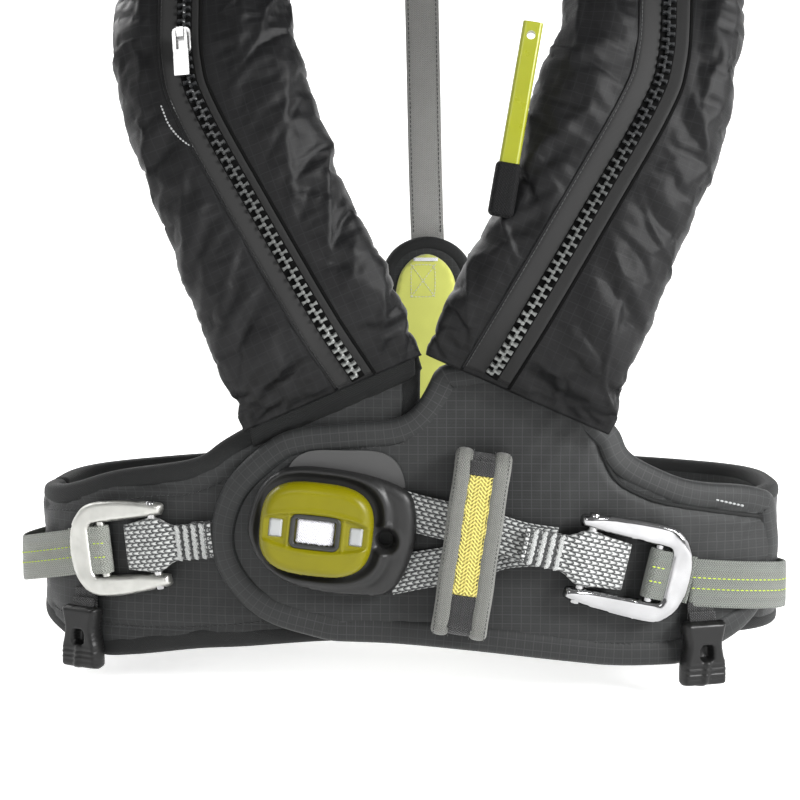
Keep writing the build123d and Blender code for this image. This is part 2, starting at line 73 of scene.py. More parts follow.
def add_camera():
    data = bpy.data.cameras.new("camera")
    data.lens = 72
    data.sensor_width = 36
    cam = bpy.data.objects.new("camera", data)
    bpy.context.collection.objects.link(cam)
    cam.location = (0.06, -1.11, 0.24)
    look_at(cam, (0, -0.11, 0.162))
    bpy.context.scene.camera = cam


def add_light(name, place, target, size, power):
    data = bpy.data.lights.new(name, "AREA")
    data.shape = "RECTANGLE"
    data.size, data.size_y = size
    data.energy = power
    lamp = bpy.data.objects.new(name, data)
    bpy.context.collection.objects.link(lamp)
    lamp.location = place
    look_at(lamp, target)


def add_studio():
    scene = bpy.context.scene
    scene.view_settings.view_transform = "Standard"
    world = bpy.data.worlds.new("studio")
    scene.world = world
    world.use_nodes = True
    background = world.node_tree.nodes["Background"]
    background.inputs[0].default_value = (1.0, 1.0, 1.0, 1)
    background.inputs[1].default_value = 0.25
    add_light("key", (1.5, -1.2, 1.0), (0.05, -0.1, 0.15), (0.7, 0.7), 62)
    add_light("front", (-0.5, -1.9, 1.2), (0, -0.1, 0.1), (1.0, 0.6), 8)
    add_light("rim", (-1.2, 1.0, 1.4), (0, 0, 0.25), (1.2, 0.8), 16)


def add_floor():
    """A pale floor that sweeps up at the back and the sides, and runs on flat in front."""
    rows = [(0.0, 0.0), (0.6, 0.0), (1.4, 0.0), (2.2, 0.0), (2.8, 0.0)]
    for k in range(1, 13):
        a = k / 12 * math.pi / 2
        rows.append((2.8 + 1.2 * math.sin(a), 1.2 * (1 - math.cos(a))))
    rows.append((4.0, 3.2))
    floor_z = CAD_BOX[0][2] - 0.012
    count = 96
    verts, faces = [], []
    for reach, rise in rows:
        for j in range(count):
            turn = 2 * math.pi * j / count
            wall = min(max((math.sin(turn) + 0.75) / 0.5, 0.0), 1.0)
            wall = wall * wall * (3 - 2 * wall)
            far = reach + (1 - wall) * (reach / 4.0) ** 3 * 26
            swell_up = (1 - wall) * (reach / 4.0) ** 3 * 2.0
            verts.append((far * math.cos(turn), far * math.sin(turn),
                          rise * wall + swell_up + floor_z))
    for k in range(len(rows) - 1):
        for j in range(count):
            nxt = (j + 1) % count
            faces.append((k * count + j, k * count + nxt, (k + 1) * count + nxt,
                          (k + 1) * count + j))
    floor = build("studio_floor", verts, faces)
    mat, shader, _ = start_material("studio_floor", (0.93, 0.93, 0.93), 0.9)
    shader.inputs["Specular IOR Level"].default_value = 0.1
    shader.inputs["Emission Color"].default_value = (1, 1, 1, 1)
    shader.inputs["Emission Strength"].default_value = 0.6
    floor.data.materials.append(mat)


# ---------------------------------------------------------------- mesh helpers

def build(name, verts, faces, uvs=None, mat=None, body=None, smooth=True):
    """A mesh object from metres, with UVs in metres so that a weave keeps its real scale."""
    mesh = bpy.data.meshes.new(name)
    mesh.from_pydata([tuple(v) for v in verts], [], faces)
    if body:
        work = bmesh.new()
        work.from_mesh(mesh)
        bmesh.ops.recalc_face_normals(work, faces=work.faces)
        work.to_mesh(mesh)
        work.free()
    mesh.update()
    if uvs:
        layer = mesh.uv_layers.new(name="weave")
        for loop in mesh.loops:
            layer.data[loop.index].uv = uvs[loop.vertex_index]
    if smooth:
        for face in mesh.polygons:
            face.use_smooth = True
    obj = bpy.data.objects.new(name, mesh)
    bpy.context.collection.objects.link(obj)
    if mat:
        mesh.materials.append(mat)
    if body:
        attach(obj, body)
    return obj


def tube_faces(rows, ring):
    """Faces that join rings of vertices, row after row, with a cap at each end."""
    faces = [(k * ring + j, k * ring + (j + 1) % ring, (k + 1) * ring + (j + 1) % ring,
              (k + 1) * ring + j) for k in range(rows) for j in range(ring)]
    faces.append(tuple(range(ring)))
    faces.append(tuple(rows * ring + j for j in range(ring)))
    return faces


def nearest(points):
    """A function that gives the index of the point nearest to a place."""
    tree = kdtree.KDTree(len(points))
    for k, p in enumerate(points):
        tree.insert(p, k)
    tree.balance()
    return lambda place: tree.find(place)[1]


def curve_points(points, per=8, closed=False):
    """A smooth run through the points (Catmull-Rom)."""
    pts = [Vector(p) for p in points]
    if len(pts) == 2:
        return [pts[0].lerp(pts[1], k / per) for k in range(per + 1)]
    out = []
    count = len(pts)
    spans = count if closed else count - 1
    for i in range(spans):
        p1 = pts[i]
        p2 = pts[(i + 1) % count]
        p0 = pts[i - 1] if closed or i > 0 else p1 * 2 - p2
        p3 = pts[(i + 2) % count] if closed or i + 2 < count else p2 * 2 - p1
        for k in range(per):
            t = k / per
            out.append(0.5 * ((2 * p1) + (p2 - p0) * t + (2 * p0 - 5 * p1 + 4 * p2 - p3) * t * t
                              + (3 * p1 - p0 - 3 * p2 + p3) * t ** 3))
    if not closed:
        out.append(pts[-1])
    return out


def resample(points, step, closed=False):
    """Evenly spaced points along a polyline."""
    pts = list(points) + ([points[0]] if closed else [])
    lengths = [0.0]
    for a, b in zip(pts, pts[1:]):
        lengths.append(lengths[-1] + (b - a).length)
    total = lengths[-1]
    count = max(2, round(total / step))
    out = []
    j = 0
    for k in range(count if closed else count + 1):
        want = total * k / count
        while j < len(lengths) - 2 and lengths[j + 1] < want:
            j += 1
        span = lengths[j + 1] - lengths[j]
        t = 0 if span == 0 else (want - lengths[j]) / span
        out.append(pts[j].lerp(pts[j + 1], t))
    return out


def outline(*runs, step=3.0):
    """A closed outline from runs that meet at corners, evenly sampled."""
    out = []
    for run in runs:
        pts = resample(curve_points([Vector(p) for p in run]), step)
        out += pts[:-1]
    return out


def tube(name, path, profile, across, mat, body, closed=False):
    """Sweeps a profile of (side, out) points along a path. across(k) gives the side direction."""
    verts, uvs = [], []
    count = len(path)
    ring = len(profile)
    run = 0.0
    around = [0.0]
    for a, b in zip(profile, profile[1:]):
        around.append(around[-1] + math.dist(a, b))
    for k, p in enumerate(path):
        if k:
            run += (path[k] - path[k - 1]).length
        if closed:
            along = (path[(k + 1) % count] - path[k - 1]).normalized()
        else:
            along = (path[min(k + 1, count - 1)] - path[max(k - 1, 0)]).normalized()
        side = across(k)
        side = (side - along * side.dot(along)).normalized()
        out = along.cross(side).normalized()
        for j, (a, b) in enumerate(profile):
            verts.append((p + side * a + out * b) * MM)
            uvs.append((around[j] * MM, run * MM))
    faces = tube_faces(count - 1, ring)
    if closed:
        last = (count - 1) * ring
        faces[-2:] = [(last + j, last + (j + 1) % ring, (j + 1) % ring, j) for j in range(ring)]
    return build(name, verts, faces, uvs, mat, body)


def oval(a, b, power=2.0, count=20):
    """Points round a superellipse, anticlockwise."""
    out = []
    for k in range(count):
        t = 2 * math.pi * k / count
        c, s = math.cos(t), math.sin(t)
        out.append((a * math.copysign(abs(c) ** (2 / power), c),
                    b * math.copysign(abs(s) ** (2 / power), s)))
    return out


def strap(name, path, face_out, width, thick, mat, body, power=5.0):
    """Flat webbing along a path. face_out(k) is the way that its face looks at point k.
    Its UVs run across the webbing from minus half its width, and along it."""
    profile = oval(width / 2, thick / 2, power, 28)
    verts, uvs = [], []
    count = len(path)
    run = 0.0
    for k, p in enumerate(path):
        if k:
            run += (path[k] - path[k - 1]).length
        along = (path[min(k + 1, count - 1)] - path[max(k - 1, 0)]).normalized()
        out = face_out(k)
        out = (out - along * out.dot(along)).normalized()
        side = out.cross(along).normalized()
        for a, b in profile:
            verts.append((p + side * a + out * b) * MM)
            uvs.append((a * MM, run * MM))
    return build(name, verts, tube_faces(count - 1, len(profile)), uvs, mat, body)


def pad(name, edge_line, place, low, high, mat, body, round_off=7.0, spacing=3.4, lift=None,
        holes=()):
    """A closed padded sheet inside an outline. place(u, v, h) maps it into space.
    Its front rises from the outline as a quarter round, and its back stays flat."""
    loops = [list(edge_line)] + [list(h) for h in holes]
    coords, edges = [], []
    for loop in loops:
        base = len(coords)
        coords += [Vector((p[0], p[1])) for p in loop]
        edges += [(base + k, base + (k + 1) % len(loop)) for k in range(len(loop))]
    rim_count = len(coords)
    tree = kdtree.KDTree(rim_count)
    for k, p in enumerate(coords):
        tree.insert((p.x, p.y, 0), k)
    tree.balance()
    min_u = min(p.x for p in coords)
    max_u = max(p.x for p in coords)
    min_v = min(p.y for p in coords)
    max_v = max(p.y for p in coords)
    row = 0
    v = min_v + spacing / 2
    while v < max_v:
        u = min_u + (spacing / 2 if row % 2 else 0)
        while u < max_u:
            if tree.find((u, v, 0))[2] > spacing * 0.62 and inside((u, v), loops):
                coords.append(Vector((u, v)))
            u += spacing
        v += spacing * 0.866
        row += 1
    flat, _, tris, _, _, _ = geometry.delaunay_2d_cdt(coords, edges, [], 0, 1e-5)
    tris = [t for t in tris
            if inside(tuple(sum((flat[i] for i in t), Vector((0, 0))) / 3), loops)]
    rim = set()
    depth = []
    for k, p in enumerate(flat):
        d = tree.find((p.x, p.y, 0))[2]
        depth.append(d)
        if d < 1e-4:
            rim.add(k)
    middle = (low + high) / 2
    verts, uvs, back_of = [], [], {}
    for k, p in enumerate(flat):
        t = min(depth[k] / round_off, 1.0)
        h = middle + (high - middle) * math.sqrt(max(0.0, 1 - (1 - t) ** 2))
        if lift:
            h += lift(p.x, p.y, depth[k])
        verts.append(place(p.x, p.y, h) * MM)
        uvs.append((p.x * MM, p.y * MM))
    for k, p in enumerate(flat):
        if k in rim:
            back_of[k] = k
            continue
        t = min(depth[k] / round_off, 1.0)
        h = middle - (middle - low) * math.sqrt(max(0.0, 1 - (1 - t) ** 2))
        back_of[k] = len(verts)
        verts.append(place(p.x, p.y, h) * MM)
        uvs.append((p.x * MM, p.y * MM))
    faces = []
    for a, b, c in tris:
        faces.append((a, b, c))
        faces.append((back_of[c], back_of[b], back_of[a]))
    return build(name, verts, faces, uvs, mat, body)


def inside(point, loops):
    """Even-odd test of a point against closed loops."""
    x, y = point
    odd = False
    for loop in loops:
        for k in range(len(loop)):
            a, b = loop[k - 1], loop[k]
            if (a[1] > y) != (b[1] > y):
                if x < (b[0] - a[0]) * (y - a[1]) / (b[1] - a[1]) + a[0]:
                    odd = not odd
    return odd


def stitches(name, path, face_out, mat, body, pitch=3.6, long=2.5, thick=0.55, raise_by=0.15):
    """A row of short threads lying along a path."""
    verts, faces = [], []
    total = sum((b - a).length for a, b in zip(path, path[1:]))
    points = resample(path, total / max(2, round(total / (pitch / 2))))
    for k in range(0, len(points) - 1, 2):
        start = points[k]
        along = points[k + 1] - start
        if along.length == 0:
            continue
        along.normalize()
        out = face_out(start)
        out = (out - along * out.dot(along)).normalized()
        side = along.cross(out)
        base = len(verts)
        for t, swell in ((0, 0.35), (0.15, 0.9), (0.5, 1.15), (0.85, 0.9), (1, 0.35)):
            centre = start + along * (t * long) + out * raise_by
            for j in range(6):
                a = 2 * math.pi * j / 6
                verts.append((centre + (side * math.cos(a) + out * math.sin(a) * 0.8)
                              * thick / 2 * swell) * MM)
        for i in range(4):
            for j in range(6):
                a = base + i * 6 + j
                b = base + i * 6 + (j + 1) % 6
                faces.append((a, b, b + 6, a + 6))
        faces.append(tuple(base + 5 - j for j in range(6)))
        faces.append(tuple(base + 24 + j for j in range(6)))
    return build(name, verts, faces, None, mat, body)


# ---------------------------------------------------------------- materials

def lin(rgb):
    """Linear colour from 0 to 255 display values."""
    out = []
    for c in rgb:
        c = c / 255
        out.append(c / 12.92 if c <= 0.04045 else ((c + 0.055) / 1.055) ** 2.4)
    return (*out, 1.0)


def start_material(name, colour, roughness):
    """A material with its Principled shader; colour is linear."""
    mat = bpy.data.materials.new(name)
    mat.use_nodes = True
    tree = mat.node_tree
    shader = tree.nodes["Principled BSDF"]
    shader.inputs["Base Color"].default_value = (*colour[:3], 1)
    shader.inputs["Roughness"].default_value = roughness
    mat.diffuse_color = (*colour[:3], 1)
    return mat, shader, tree


class Nodes:
    """Short ways to add the few nodes that every material here is made from."""

    def __init__(self, tree):
        self.tree = tree

    def add(self, kind, **values):
        node = self.tree.nodes.new(kind)
        for key, value in values.items():
            setattr(node, key, value)
        return node

    def link(self, a, b):
        self.tree.links.new(a, b)

    def put(self, socket, value):
        if isinstance(value, (int, float)):
            socket.default_value = value
        else:
            self.link(value, socket)

    def math(self, operation, a, b=0.0):
        node = self.add("ShaderNodeMath", operation=operation)
        self.put(node.inputs[0], a)
        self.put(node.inputs[1], b)
        return node.outputs[0]

    def weave_axes(self):
        uv = self.add("ShaderNodeUVMap", uv_map="weave")
        split = self.add("ShaderNodeSeparateXYZ")
        self.link(uv.outputs[0], split.inputs[0])
        return split.outputs[0], split.outputs[1]

    def object_axes(self):
        coord = self.add("ShaderNodeTexCoord")
        split = self.add("ShaderNodeSeparateXYZ")
        self.link(coord.outputs["Object"], split.inputs[0])
        return coord.outputs["Object"], split.outputs

    def noise(self, scale, detail=3.0, rough=0.55):
        coord = self.add("ShaderNodeTexCoord")
        node = self.add("ShaderNodeTexNoise")
        self.link(coord.outputs["Object"], node.inputs["Vector"])
        node.inputs["Scale"].default_value = scale
        node.inputs["Detail"].default_value = detail
        node.inputs["Roughness"].default_value = rough
        return node.outputs[0]

    def ramp(self, value, stops):
        node = self.add("ShaderNodeValToRGB")
        self.link(value, node.inputs[0])
        marks = node.color_ramp.elements
        while len(marks) < len(stops):
            marks.new(0.5)
        for mark, (at, colour) in zip(marks, stops):
            mark.position = at
            mark.color = colour
        return node.outputs[0]

    def mix(self, share, a, b):
        node = self.add("ShaderNodeMix", data_type="RGBA")
        self.put(node.inputs[0], share)
        for socket, value in ((node.inputs[6], a), (node.inputs[7], b)):
            if isinstance(value, tuple):
                socket.default_value = value
            else:
                self.link(value, socket)
        return node.outputs[2]

    def bump(self, shader, height, strength, distance):
        node = self.add("ShaderNodeBump")
        node.inputs["Strength"].default_value = strength
        node.inputs["Distance"].default_value = distance
        self.link(height, node.inputs["Height"])
        self.link(node.outputs[0], shader.inputs["Normal"])

    def wave(self, axis, pitch):
        """A sine along an axis given in metres, with a pitch in millimetres."""
        return self.math("SINE", self.math("MULTIPLY", axis, 2 * math.pi / (pitch * MM)))

    def line(self, axis, pitch, share):
        """1 on thin lines every pitch millimetres, 0 between them."""
        part = self.math("FRACT", self.math("MULTIPLY", axis, 1 / (pitch * MM)))
        away = self.math("ABSOLUTE", self.math("SUBTRACT", part, 0.5))
        return self.math("GREATER_THAN", away, 0.5 - share / 2)


def woven(name, rgb, rough=0.82, thread=1.1, grid=None, depth=0.35, sheen=0.25, vary=0.16,
          lines_rgb=None, shine=0.35):
    """Cloth: a fine plain weave, an optional ripstop grid, and soft uneven shading."""
    mat, shader, tree = start_material(name, lin(rgb), rough)
    n = Nodes(tree)
    u, v = n.weave_axes()
    height = n.math("MULTIPLY", n.wave(u, thread), n.wave(v, thread))
    colour = lin(rgb)
    dark = tuple(c * (1 - vary) for c in colour[:3]) + (1.0,)
    light = tuple(min(1.0, c * (1 + vary)) for c in colour[:3]) + (1.0,)
    blotch = n.ramp(n.noise(14.0), [(0.3, dark), (0.7, light)])
    thread_shade = n.math("MULTIPLY_ADD", height, 0.5)
    thread_shade.node.inputs[2].default_value = 0.5
    shaded = n.mix(thread_shade, n.mix(0.22, blotch, (0, 0, 0, 1)), blotch)
    if grid:
        cross = n.math("MAXIMUM", n.line(u, grid, 0.09), n.line(v, grid, 0.09))
        mark = lin(lines_rgb)
        shaded = n.mix(n.math("MULTIPLY", cross, 0.5), shaded, mark)
        ribs = n.line(v, grid / 3, 0.14)
        shaded = n.mix(n.math("MULTIPLY", ribs, 0.16), shaded, mark)
        height = n.math("ADD", height, n.math("MULTIPLY", n.math("MAXIMUM", cross, ribs), 1.8))
    n.link(shaded, shader.inputs["Base Color"])
    n.bump(shader, height, depth, 0.0004)
    shader.inputs["Sheen Weight"].default_value = sheen
    shader.inputs["Sheen Roughness"].default_value = 0.4
    shader.inputs["Specular IOR Level"].default_value = shine
    return mat


def webbing(name, rgb, dark_rgb, pitch=2.1, rough=0.7, depth=0.7, cut=0.5):
    """Narrow woven webbing: a herringbone of raised cords with darker gaps."""
    mat, shader, tree = start_material(name, lin(rgb), rough)
    n = Nodes(tree)
    u, v = n.weave_axes()
    zig = n.math("PINGPONG", u, pitch * 1.6 * MM)
    slant = n.math("ADD", v, zig)
    cord = n.wave(slant, pitch)
    rib = n.wave(u, pitch * 0.8)
    height = n.math("ADD", cord, n.math("MULTIPLY", rib, 0.45))
    shade = n.math("MULTIPLY_ADD", height, 0.33)
    shade.node.inputs[2].default_value = cut
    worn = n.math("ADD", shade, n.math("MULTIPLY", n.noise(220.0), 0.35))
    colour = n.ramp(worn, [(0.35, lin(dark_rgb)), (0.75, lin(rgb))])
    n.link(colour, shader.inputs["Base Color"])
    n.bump(shader, height, depth, 0.0006)
    shader.inputs["Sheen Weight"].default_value = 0.15
    return mat


def chevron(name, pale, mid, dark, pitch=5.2):
    """Reflective harness webbing: rows of small scales, pale in the middle and dark between."""
    mat, shader, tree = start_material(name, lin(pale), 0.5)
    n = Nodes(tree)
    u, v = n.weave_axes()
    row = n.math("FLOOR", n.math("MULTIPLY", u, 1 / (pitch * 0.62 * MM)))
    odd = n.math("MULTIPLY", n.math("MODULO", n.math("ABSOLUTE", row), 2.0), pitch / 2 * MM)
    across = n.math("SINE", n.math("MULTIPLY", u, math.pi / (pitch * 0.62 * MM)))
    bulge = n.math("ABSOLUTE", across)
    slide = n.math("ADD", n.math("ADD", v, odd), n.math("MULTIPLY", bulge, pitch * 0.35 * MM))
    scale_ = n.math("FRACT", n.math("MULTIPLY", slide, 1 / (pitch * MM)))
    rise = n.math("MULTIPLY", scale_, bulge)
    grain = n.math("MULTIPLY", n.noise(420.0, 2.0), 0.5)
    colour = n.ramp(n.math("ADD", rise, grain),
                    [(0.3, lin(dark)), (0.5, lin(mid)), (0.85, lin(pale))])
    n.link(colour, shader.inputs["Base Color"])
    n.bump(shader, rise, 0.9, 0.0009)
    shader.inputs["Sheen Weight"].default_value = 0.2
    return mat


def moulded(name, rgb, rough=0.45, grain=900.0, depth=0.12, wear=0.1, coat=0.0, shine=0.5):
    """Moulded plastic: fine grain in the surface and slightly paler worn patches."""
    mat, shader, tree = start_material(name, lin(rgb), rough)
    n = Nodes(tree)
    colour = lin(rgb)
    light = tuple(min(1.0, c * (1 + wear)) for c in colour[:3]) + (1.0,)
    dark = tuple(c * (1 - wear) for c in colour[:3]) + (1.0,)
    n.link(n.ramp(n.noise(30.0), [(0.35, dark), (0.7, light)]), shader.inputs["Base Color"])
    scuff = n.ramp(n.noise(90.0, 5.0), [(0.3, (rough * 0.85,) * 3 + (1,)),
                                        (0.75, (min(1, rough * 1.25),) * 3 + (1,))])
    n.link(scuff, shader.inputs["Roughness"])
    n.bump(shader, n.noise(grain, 2.0), depth, 0.0003)
    shader.inputs["Specular IOR Level"].default_value = shine
    shader.inputs["Coat Weight"].default_value = coat
    shader.inputs["Coat Roughness"].default_value = 0.2
    return mat


def metal(name, rgb, rough, grain, depth):
    """Cast or polished metal with small scratches in its gloss."""
    mat, shader, tree = start_material(name, lin(rgb), rough)
    n = Nodes(tree)
    shader.inputs["Metallic"].default_value = 1.0
    scratch = n.ramp(n.noise(160.0, 6.0), [(0.3, (rough * 0.7,) * 3 + (1,)),
                                           (0.75, (min(1, rough * 1.5),) * 3 + (1,))])
    n.link(scratch, shader.inputs["Roughness"])
    colour = lin(rgb)
    dull = tuple(c * 0.82 for c in colour[:3]) + (1.0,)
    n.link(n.ramp(n.noise(45.0), [(0.3, dull), (0.7, colour)]), shader.inputs["Base Color"])
    n.bump(shader, n.noise(grain, 2.0), depth, 0.0002)
    return mat


def chain_plastic():
    """Zip teeth: grey mouldings with painted shade that darkens them higher up, set by their
    height.
    """
    mat, shader, tree = start_material("zip_teeth", lin((150, 152, 150)), 0.35)
    n = Nodes(tree)
    _, axes = n.object_axes()
    # painted shade: the teeth's colour ramps from pale at 0.2 m of height to dark at 0.33 m
    rise = n.add("ShaderNodeMapRange")
    n.link(axes[2], rise.inputs[0])
    rise.inputs[1].default_value = 0.2
    rise.inputs[2].default_value = 0.33
    n.link(n.ramp(rise.outputs[0], [(0.0, lin((112, 114, 112))), (1.0, lin((40, 41, 42)))]),
           shader.inputs["Base Color"])
    n.bump(shader, n.noise(700.0, 2.0), 0.1, 0.0002)
    shader.inputs["Metallic"].default_value = 0.25
    return mat


M = {
    "cover": woven("cover_ripstop", (13, 13, 14), 0.4, 0.9, grid=6.0, depth=0.2, sheen=0.0,
                   lines_rgb=(28, 29, 30), shine=0.2),
    "belt": woven("belt_ripstop", (38, 39, 39), 0.5, 0.9, grid=5.6, depth=0.2, sheen=0.02,
                  lines_rgb=(58, 59, 60), shine=0.26),
    "binding": woven("binding_tape", (26, 27, 27), 0.7, 1.4, depth=0.4, sheen=0.03, shine=0.25),
    "tape": woven("zip_tape", (31, 31, 31), 0.6, 0.8, depth=0.2, sheen=0.03, shine=0.25, vary=0.08),
    "slot": woven("zip_slot", (7, 7, 7), 0.9, 1.0, depth=0.3, sheen=0.0, shine=0.1),
    "thread": woven("black_thread", (30, 30, 30), 0.8, 0.5, depth=0.1),
    "pale_thread": moulded("pale_thread", (190, 192, 186), 0.7, 1500.0),
    "lime_thread": moulded("lime_thread", (176, 196, 60), 0.7, 1500.0),
    "dim_thread": moulded("dim_thread", (66, 67, 67), 0.6, 1500.0),
    "reflect_thread": moulded("reflect_thread", (150, 152, 152), 0.5, 1500.0),
    "teeth": chain_plastic(),
    "black": moulded("black_plastic", (29, 29, 29), 0.42, 1100.0, 0.14, shine=0.36),
    "clip_black": moulded("clip_plastic", (18, 18, 18), 0.38, 1100.0, 0.14, shine=0.3),
    "rim": moulded("window_rim", (30, 31, 28), 0.35, 900.0),
    "lime": moulded("lime_plastic", (110, 105, 0), 0.34, 1300.0, 0.08, 0.06, 0.04, 0.22),
    "insert": moulded("grey_insert", (150, 152, 152), 0.3, 600.0),
    "white_tape": woven("white_tape", (226, 226, 232), 0.7, 1.6, depth=0.6, sheen=0.3),
    "grey_web": webbing("grey_webbing", (114, 118, 112), (90, 93, 88), 1.7),
    # painted light: a paler copy of the same grey webbing for the wearer's left side, standing in
    # for the difference in light between the sides
    "grey_web_left_painted_light": webbing("grey_webbing_shaded", (146, 149, 142), (112, 115, 108), 1.7),
    "strap": webbing("back_strap_webbing", (138, 138, 135), (116, 116, 113), 1.6, depth=0.35),
    "silver": chevron("silver_webbing", (192, 194, 192), (98, 100, 100), (26, 27, 27), 4.4),
    "tack": webbing("bar_tack_thread", (205, 207, 205), (140, 142, 142), 1.2),
    "gap": webbing("tack_gap_thread", (70, 72, 72), (38, 39, 39), 1.2),
    "loop": webbing("loop_tube", (112, 113, 108), (78, 79, 76), 1.3, depth=0.5),
    "core": webbing("loop_core", (212, 199, 104), (138, 128, 52), 2.5, depth=0.8),
    "black_web": webbing("black_webbing", (34, 34, 35), (14, 14, 14), 1.6),
    "cast": metal("cast_metal", (196, 196, 191), 0.42, 700.0, 0.35),
    "polished": metal("polished_metal", (176, 176, 177), 0.1, 250.0, 0.05),
    "steel": metal("plain_steel", (190, 190, 190), 0.25, 500.0, 0.05),
    "lime_cloth": woven("lime_lining", (196, 200, 100), 0.75, 1.0, depth=0.25, sheen=0.3),
    "lime_bar": moulded("lime_handle", (128, 132, 8), 0.3, 900.0, 0.06, 0.05, 0.4),
    "elastic": woven("black_elastic", (14, 14, 15), 0.8, 1.8, depth=0.6, sheen=0.0, shine=0.2),
    "bladder": woven("bladder_cloth", (222, 200, 40), 0.5, 0.8),
    "orange": moulded("whistle_plastic", (214, 92, 22), 0.3, 900.0),
    "rubber": moulded("black_rubber", (40, 40, 40), 0.7, 900.0),
    "lens": moulded("clear_lens", (225, 228, 228), 0.08, 300.0, 0.02, 0.02, 0.8),
}

CAD_LOOKS = {
    "firing_head": "black", "pull_lever": "orange", "lever_pin": "steel", "co2_cylinder": "steel",
    "cylinder_seal": "rubber", "oral_tube": "rubber", "oral_cap": "rubber", "whistle": "orange",
    "rescue_light": "black", "light_lens": "lens", "zip_slider": "steel", "zip_puller": "steel",
    "release_spindle": "steel", "release_spring": "steel", "left_hook_pin": "steel",
    "right_hook_pin": "steel", "cutter_blade": "steel", "cutter_handle": "lime_bar",
    "left_thigh_clip": "clip_black", "right_thigh_clip": "clip_black", "release_base": "black",
    "left_bladder": "bladder", "right_bladder": "bladder", "collar_bladder": "bladder",
}


def dress_cad():
    """Gives every CAD node that stays in view its own worked material."""
    for node, look in CAD_LOOKS.items():
        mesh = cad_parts[node].data
        mesh.materials.clear()
        mesh.materials.append(M[look])


# ---------------------------------------------------------------- lobes and collar

# Sections from the hem upwards: centre (distance from the middle plane, y, z), width,
# thickness, direction of the lobe, direction that its face looks.
LOBE = [
    ((57, -126.8, 167), 122, 12, (0.40, 0.0, 0.92), (0, -1, 0)),
    ((71, -137.5, 205), 120, 36, (0.40, 0.0, 0.92), (0, -1, 0)),
    ((89, -135, 246), 117, 45, (0.39, 0.06, 0.92), (0, -1, 0)),
    ((107, -131, 291), 116, 48, (0.37, 0.09, 0.92), (0, -1, 0.08)),
    ((126, -124, 342), 118, 48, (0.31, 0.18, 0.93), (0, -1, 0.15)),
    ((138, -107, 395), 114, 46, (0.10, 0.40, 0.91), (0.05, -0.93, 0.38)),
    ((136, -76, 441), 108, 44, (-0.15, 0.64, 0.75), (0.1, -0.78, 0.6)),
    ((121, -34, 477), 102, 42, (-0.38, 0.80, 0.46), (0.1, -0.45, 0.88)),
    ((99, 8, 496), 100, 40, (-0.55, 0.83, 0.15), (0.1, -0.1, 1)),
    ((68, 47, 501), 98, 40, (-0.75, 0.66, 0.0), (0.12, 0.12, 1)),
    ((34, 72, 499), 98, 40, (-0.92, 0.38, -0.05), (0.05, 0.35, 0.93)),
    ((0, 80, 497), 98, 40, (-1, 0, 0), (0, 0.45, 0.89)),
]
SHOULDER = 8
NAPE = 11
COLUMNS = 132
ZIP_LINE = [(37, 172), (84, 252), (132, 333), (143, 362), (146, 398)]
ZIP_CURVE = curve_points([(u, z) for u, z in ZIP_LINE], 12)


def between(values, q):
    """A smooth value between list entries, at the fractional place q."""
    k = min(int(q), len(values) - 2)
    t = q - k
    p1, p2 = values[k], values[k + 1]
    p0 = values[k - 1] if k > 0 else p1 * 2 - p2
    p3 = values[k + 2] if k + 2 < len(values) else p2 * 2 - p1
    return 0.5 * ((2 * p1) + (p2 - p0) * t + (2 * p0 - 5 * p1 + 4 * p2 - p3) * t * t
                  + (3 * p1 - p0 - 3 * p2 + p3) * t ** 3)


# Past the nape the list goes on as its own mirror image, so that the curve is level there.
MIRRORED = LOBE + [((-c[0], c[1], c[2]), w, t, (a[0], -a[1], -a[2]), (-f[0], f[1], f[2]))
                   for c, w, t, a, f in reversed(LOBE[:-1])]
CENTRES = [Vector(row[0]) for row in MIRRORED]
WIDTHS = [float(row[1]) for row in MIRRORED]
THICKS = [float(row[2]) for row in MIRRORED]
ALONGS = [Vector(row[3]).normalized() for row in MIRRORED]
FACES = [Vector(row[4]).normalized() for row in MIRRORED]


def lobe_frame(side, q):
    """Centre, outward direction, facing direction, width and thickness at place q."""
    centre = between(CENTRES, q)
    along = between(ALONGS, q).normalized()
    face = between(FACES, q)
    face = (face - along * face.dot(along)).normalized()
    across = along.cross(face).normalized()
    place = Vector((LOBE_MID_X + side * centre.x, centre.y, centre.z))
    across = Vector((side * across.x, across.y, across.z))
    face = Vector((side * face.x, face.y, face.z))
    return place, across, face, between(WIDTHS, q), between(THICKS, q)


def zip_u(z):
    """The zip's distance from the middle plane at that height."""
    if z <= ZIP_CURVE[0].y:
        a, b = ZIP_CURVE[0], ZIP_CURVE[1]
    elif z >= ZIP_CURVE[-1].y:
        a, b = ZIP_CURVE[-2], ZIP_CURVE[-1]
    else:
        k = next(i for i in range(len(ZIP_CURVE) - 1) if ZIP_CURVE[i + 1].y >= z)
        a, b = ZIP_CURVE[k], ZIP_CURVE[k + 1]
    return a.x + (b.x - a.x) * (z - a.y) / (b.y - a.y)


def zip_lateral(q):
    """How far outwards of the lobe's middle line the zip lies at place q."""
    q_low = min(q, 5.0)
    centre, across, _, _, _ = lobe_frame(1, q_low)
    lateral = 0.0
    for _ in range(6):
        z = centre.z + across.z * lateral
        lateral = (zip_u(z) - (centre.x - LOBE_MID_X)) / across.x
    if q > 5.0:
        lateral *= max(0.0, 1 - (q - 5.0) / 4)
    return lateral


def crown(lateral, wide, thick):
    share = min(abs(lateral) / (wide / 2), 1.0)
    return thick / 2 * (1 - share ** SECTION_POWER) ** (1 / SECTION_POWER)


def lobe_point(side, q, lateral, proud=0.0):
    """A point on the front of the cover, and the way the cover faces there."""
    centre, across, face, wide, thick = lobe_frame(side, q)
    dip = -3.0 * math.exp(-((lateral - zip_lateral(q)) / 11) ** 2)
    p = centre + across * lateral + face * (crown(lateral, wide, thick) + dip + proud)
    step = 2.0
    rise = (crown(lateral + step, wide, thick) - crown(lateral - step, wide, thick)) / (2 * step)
    return p, (face - across * rise).normalized()


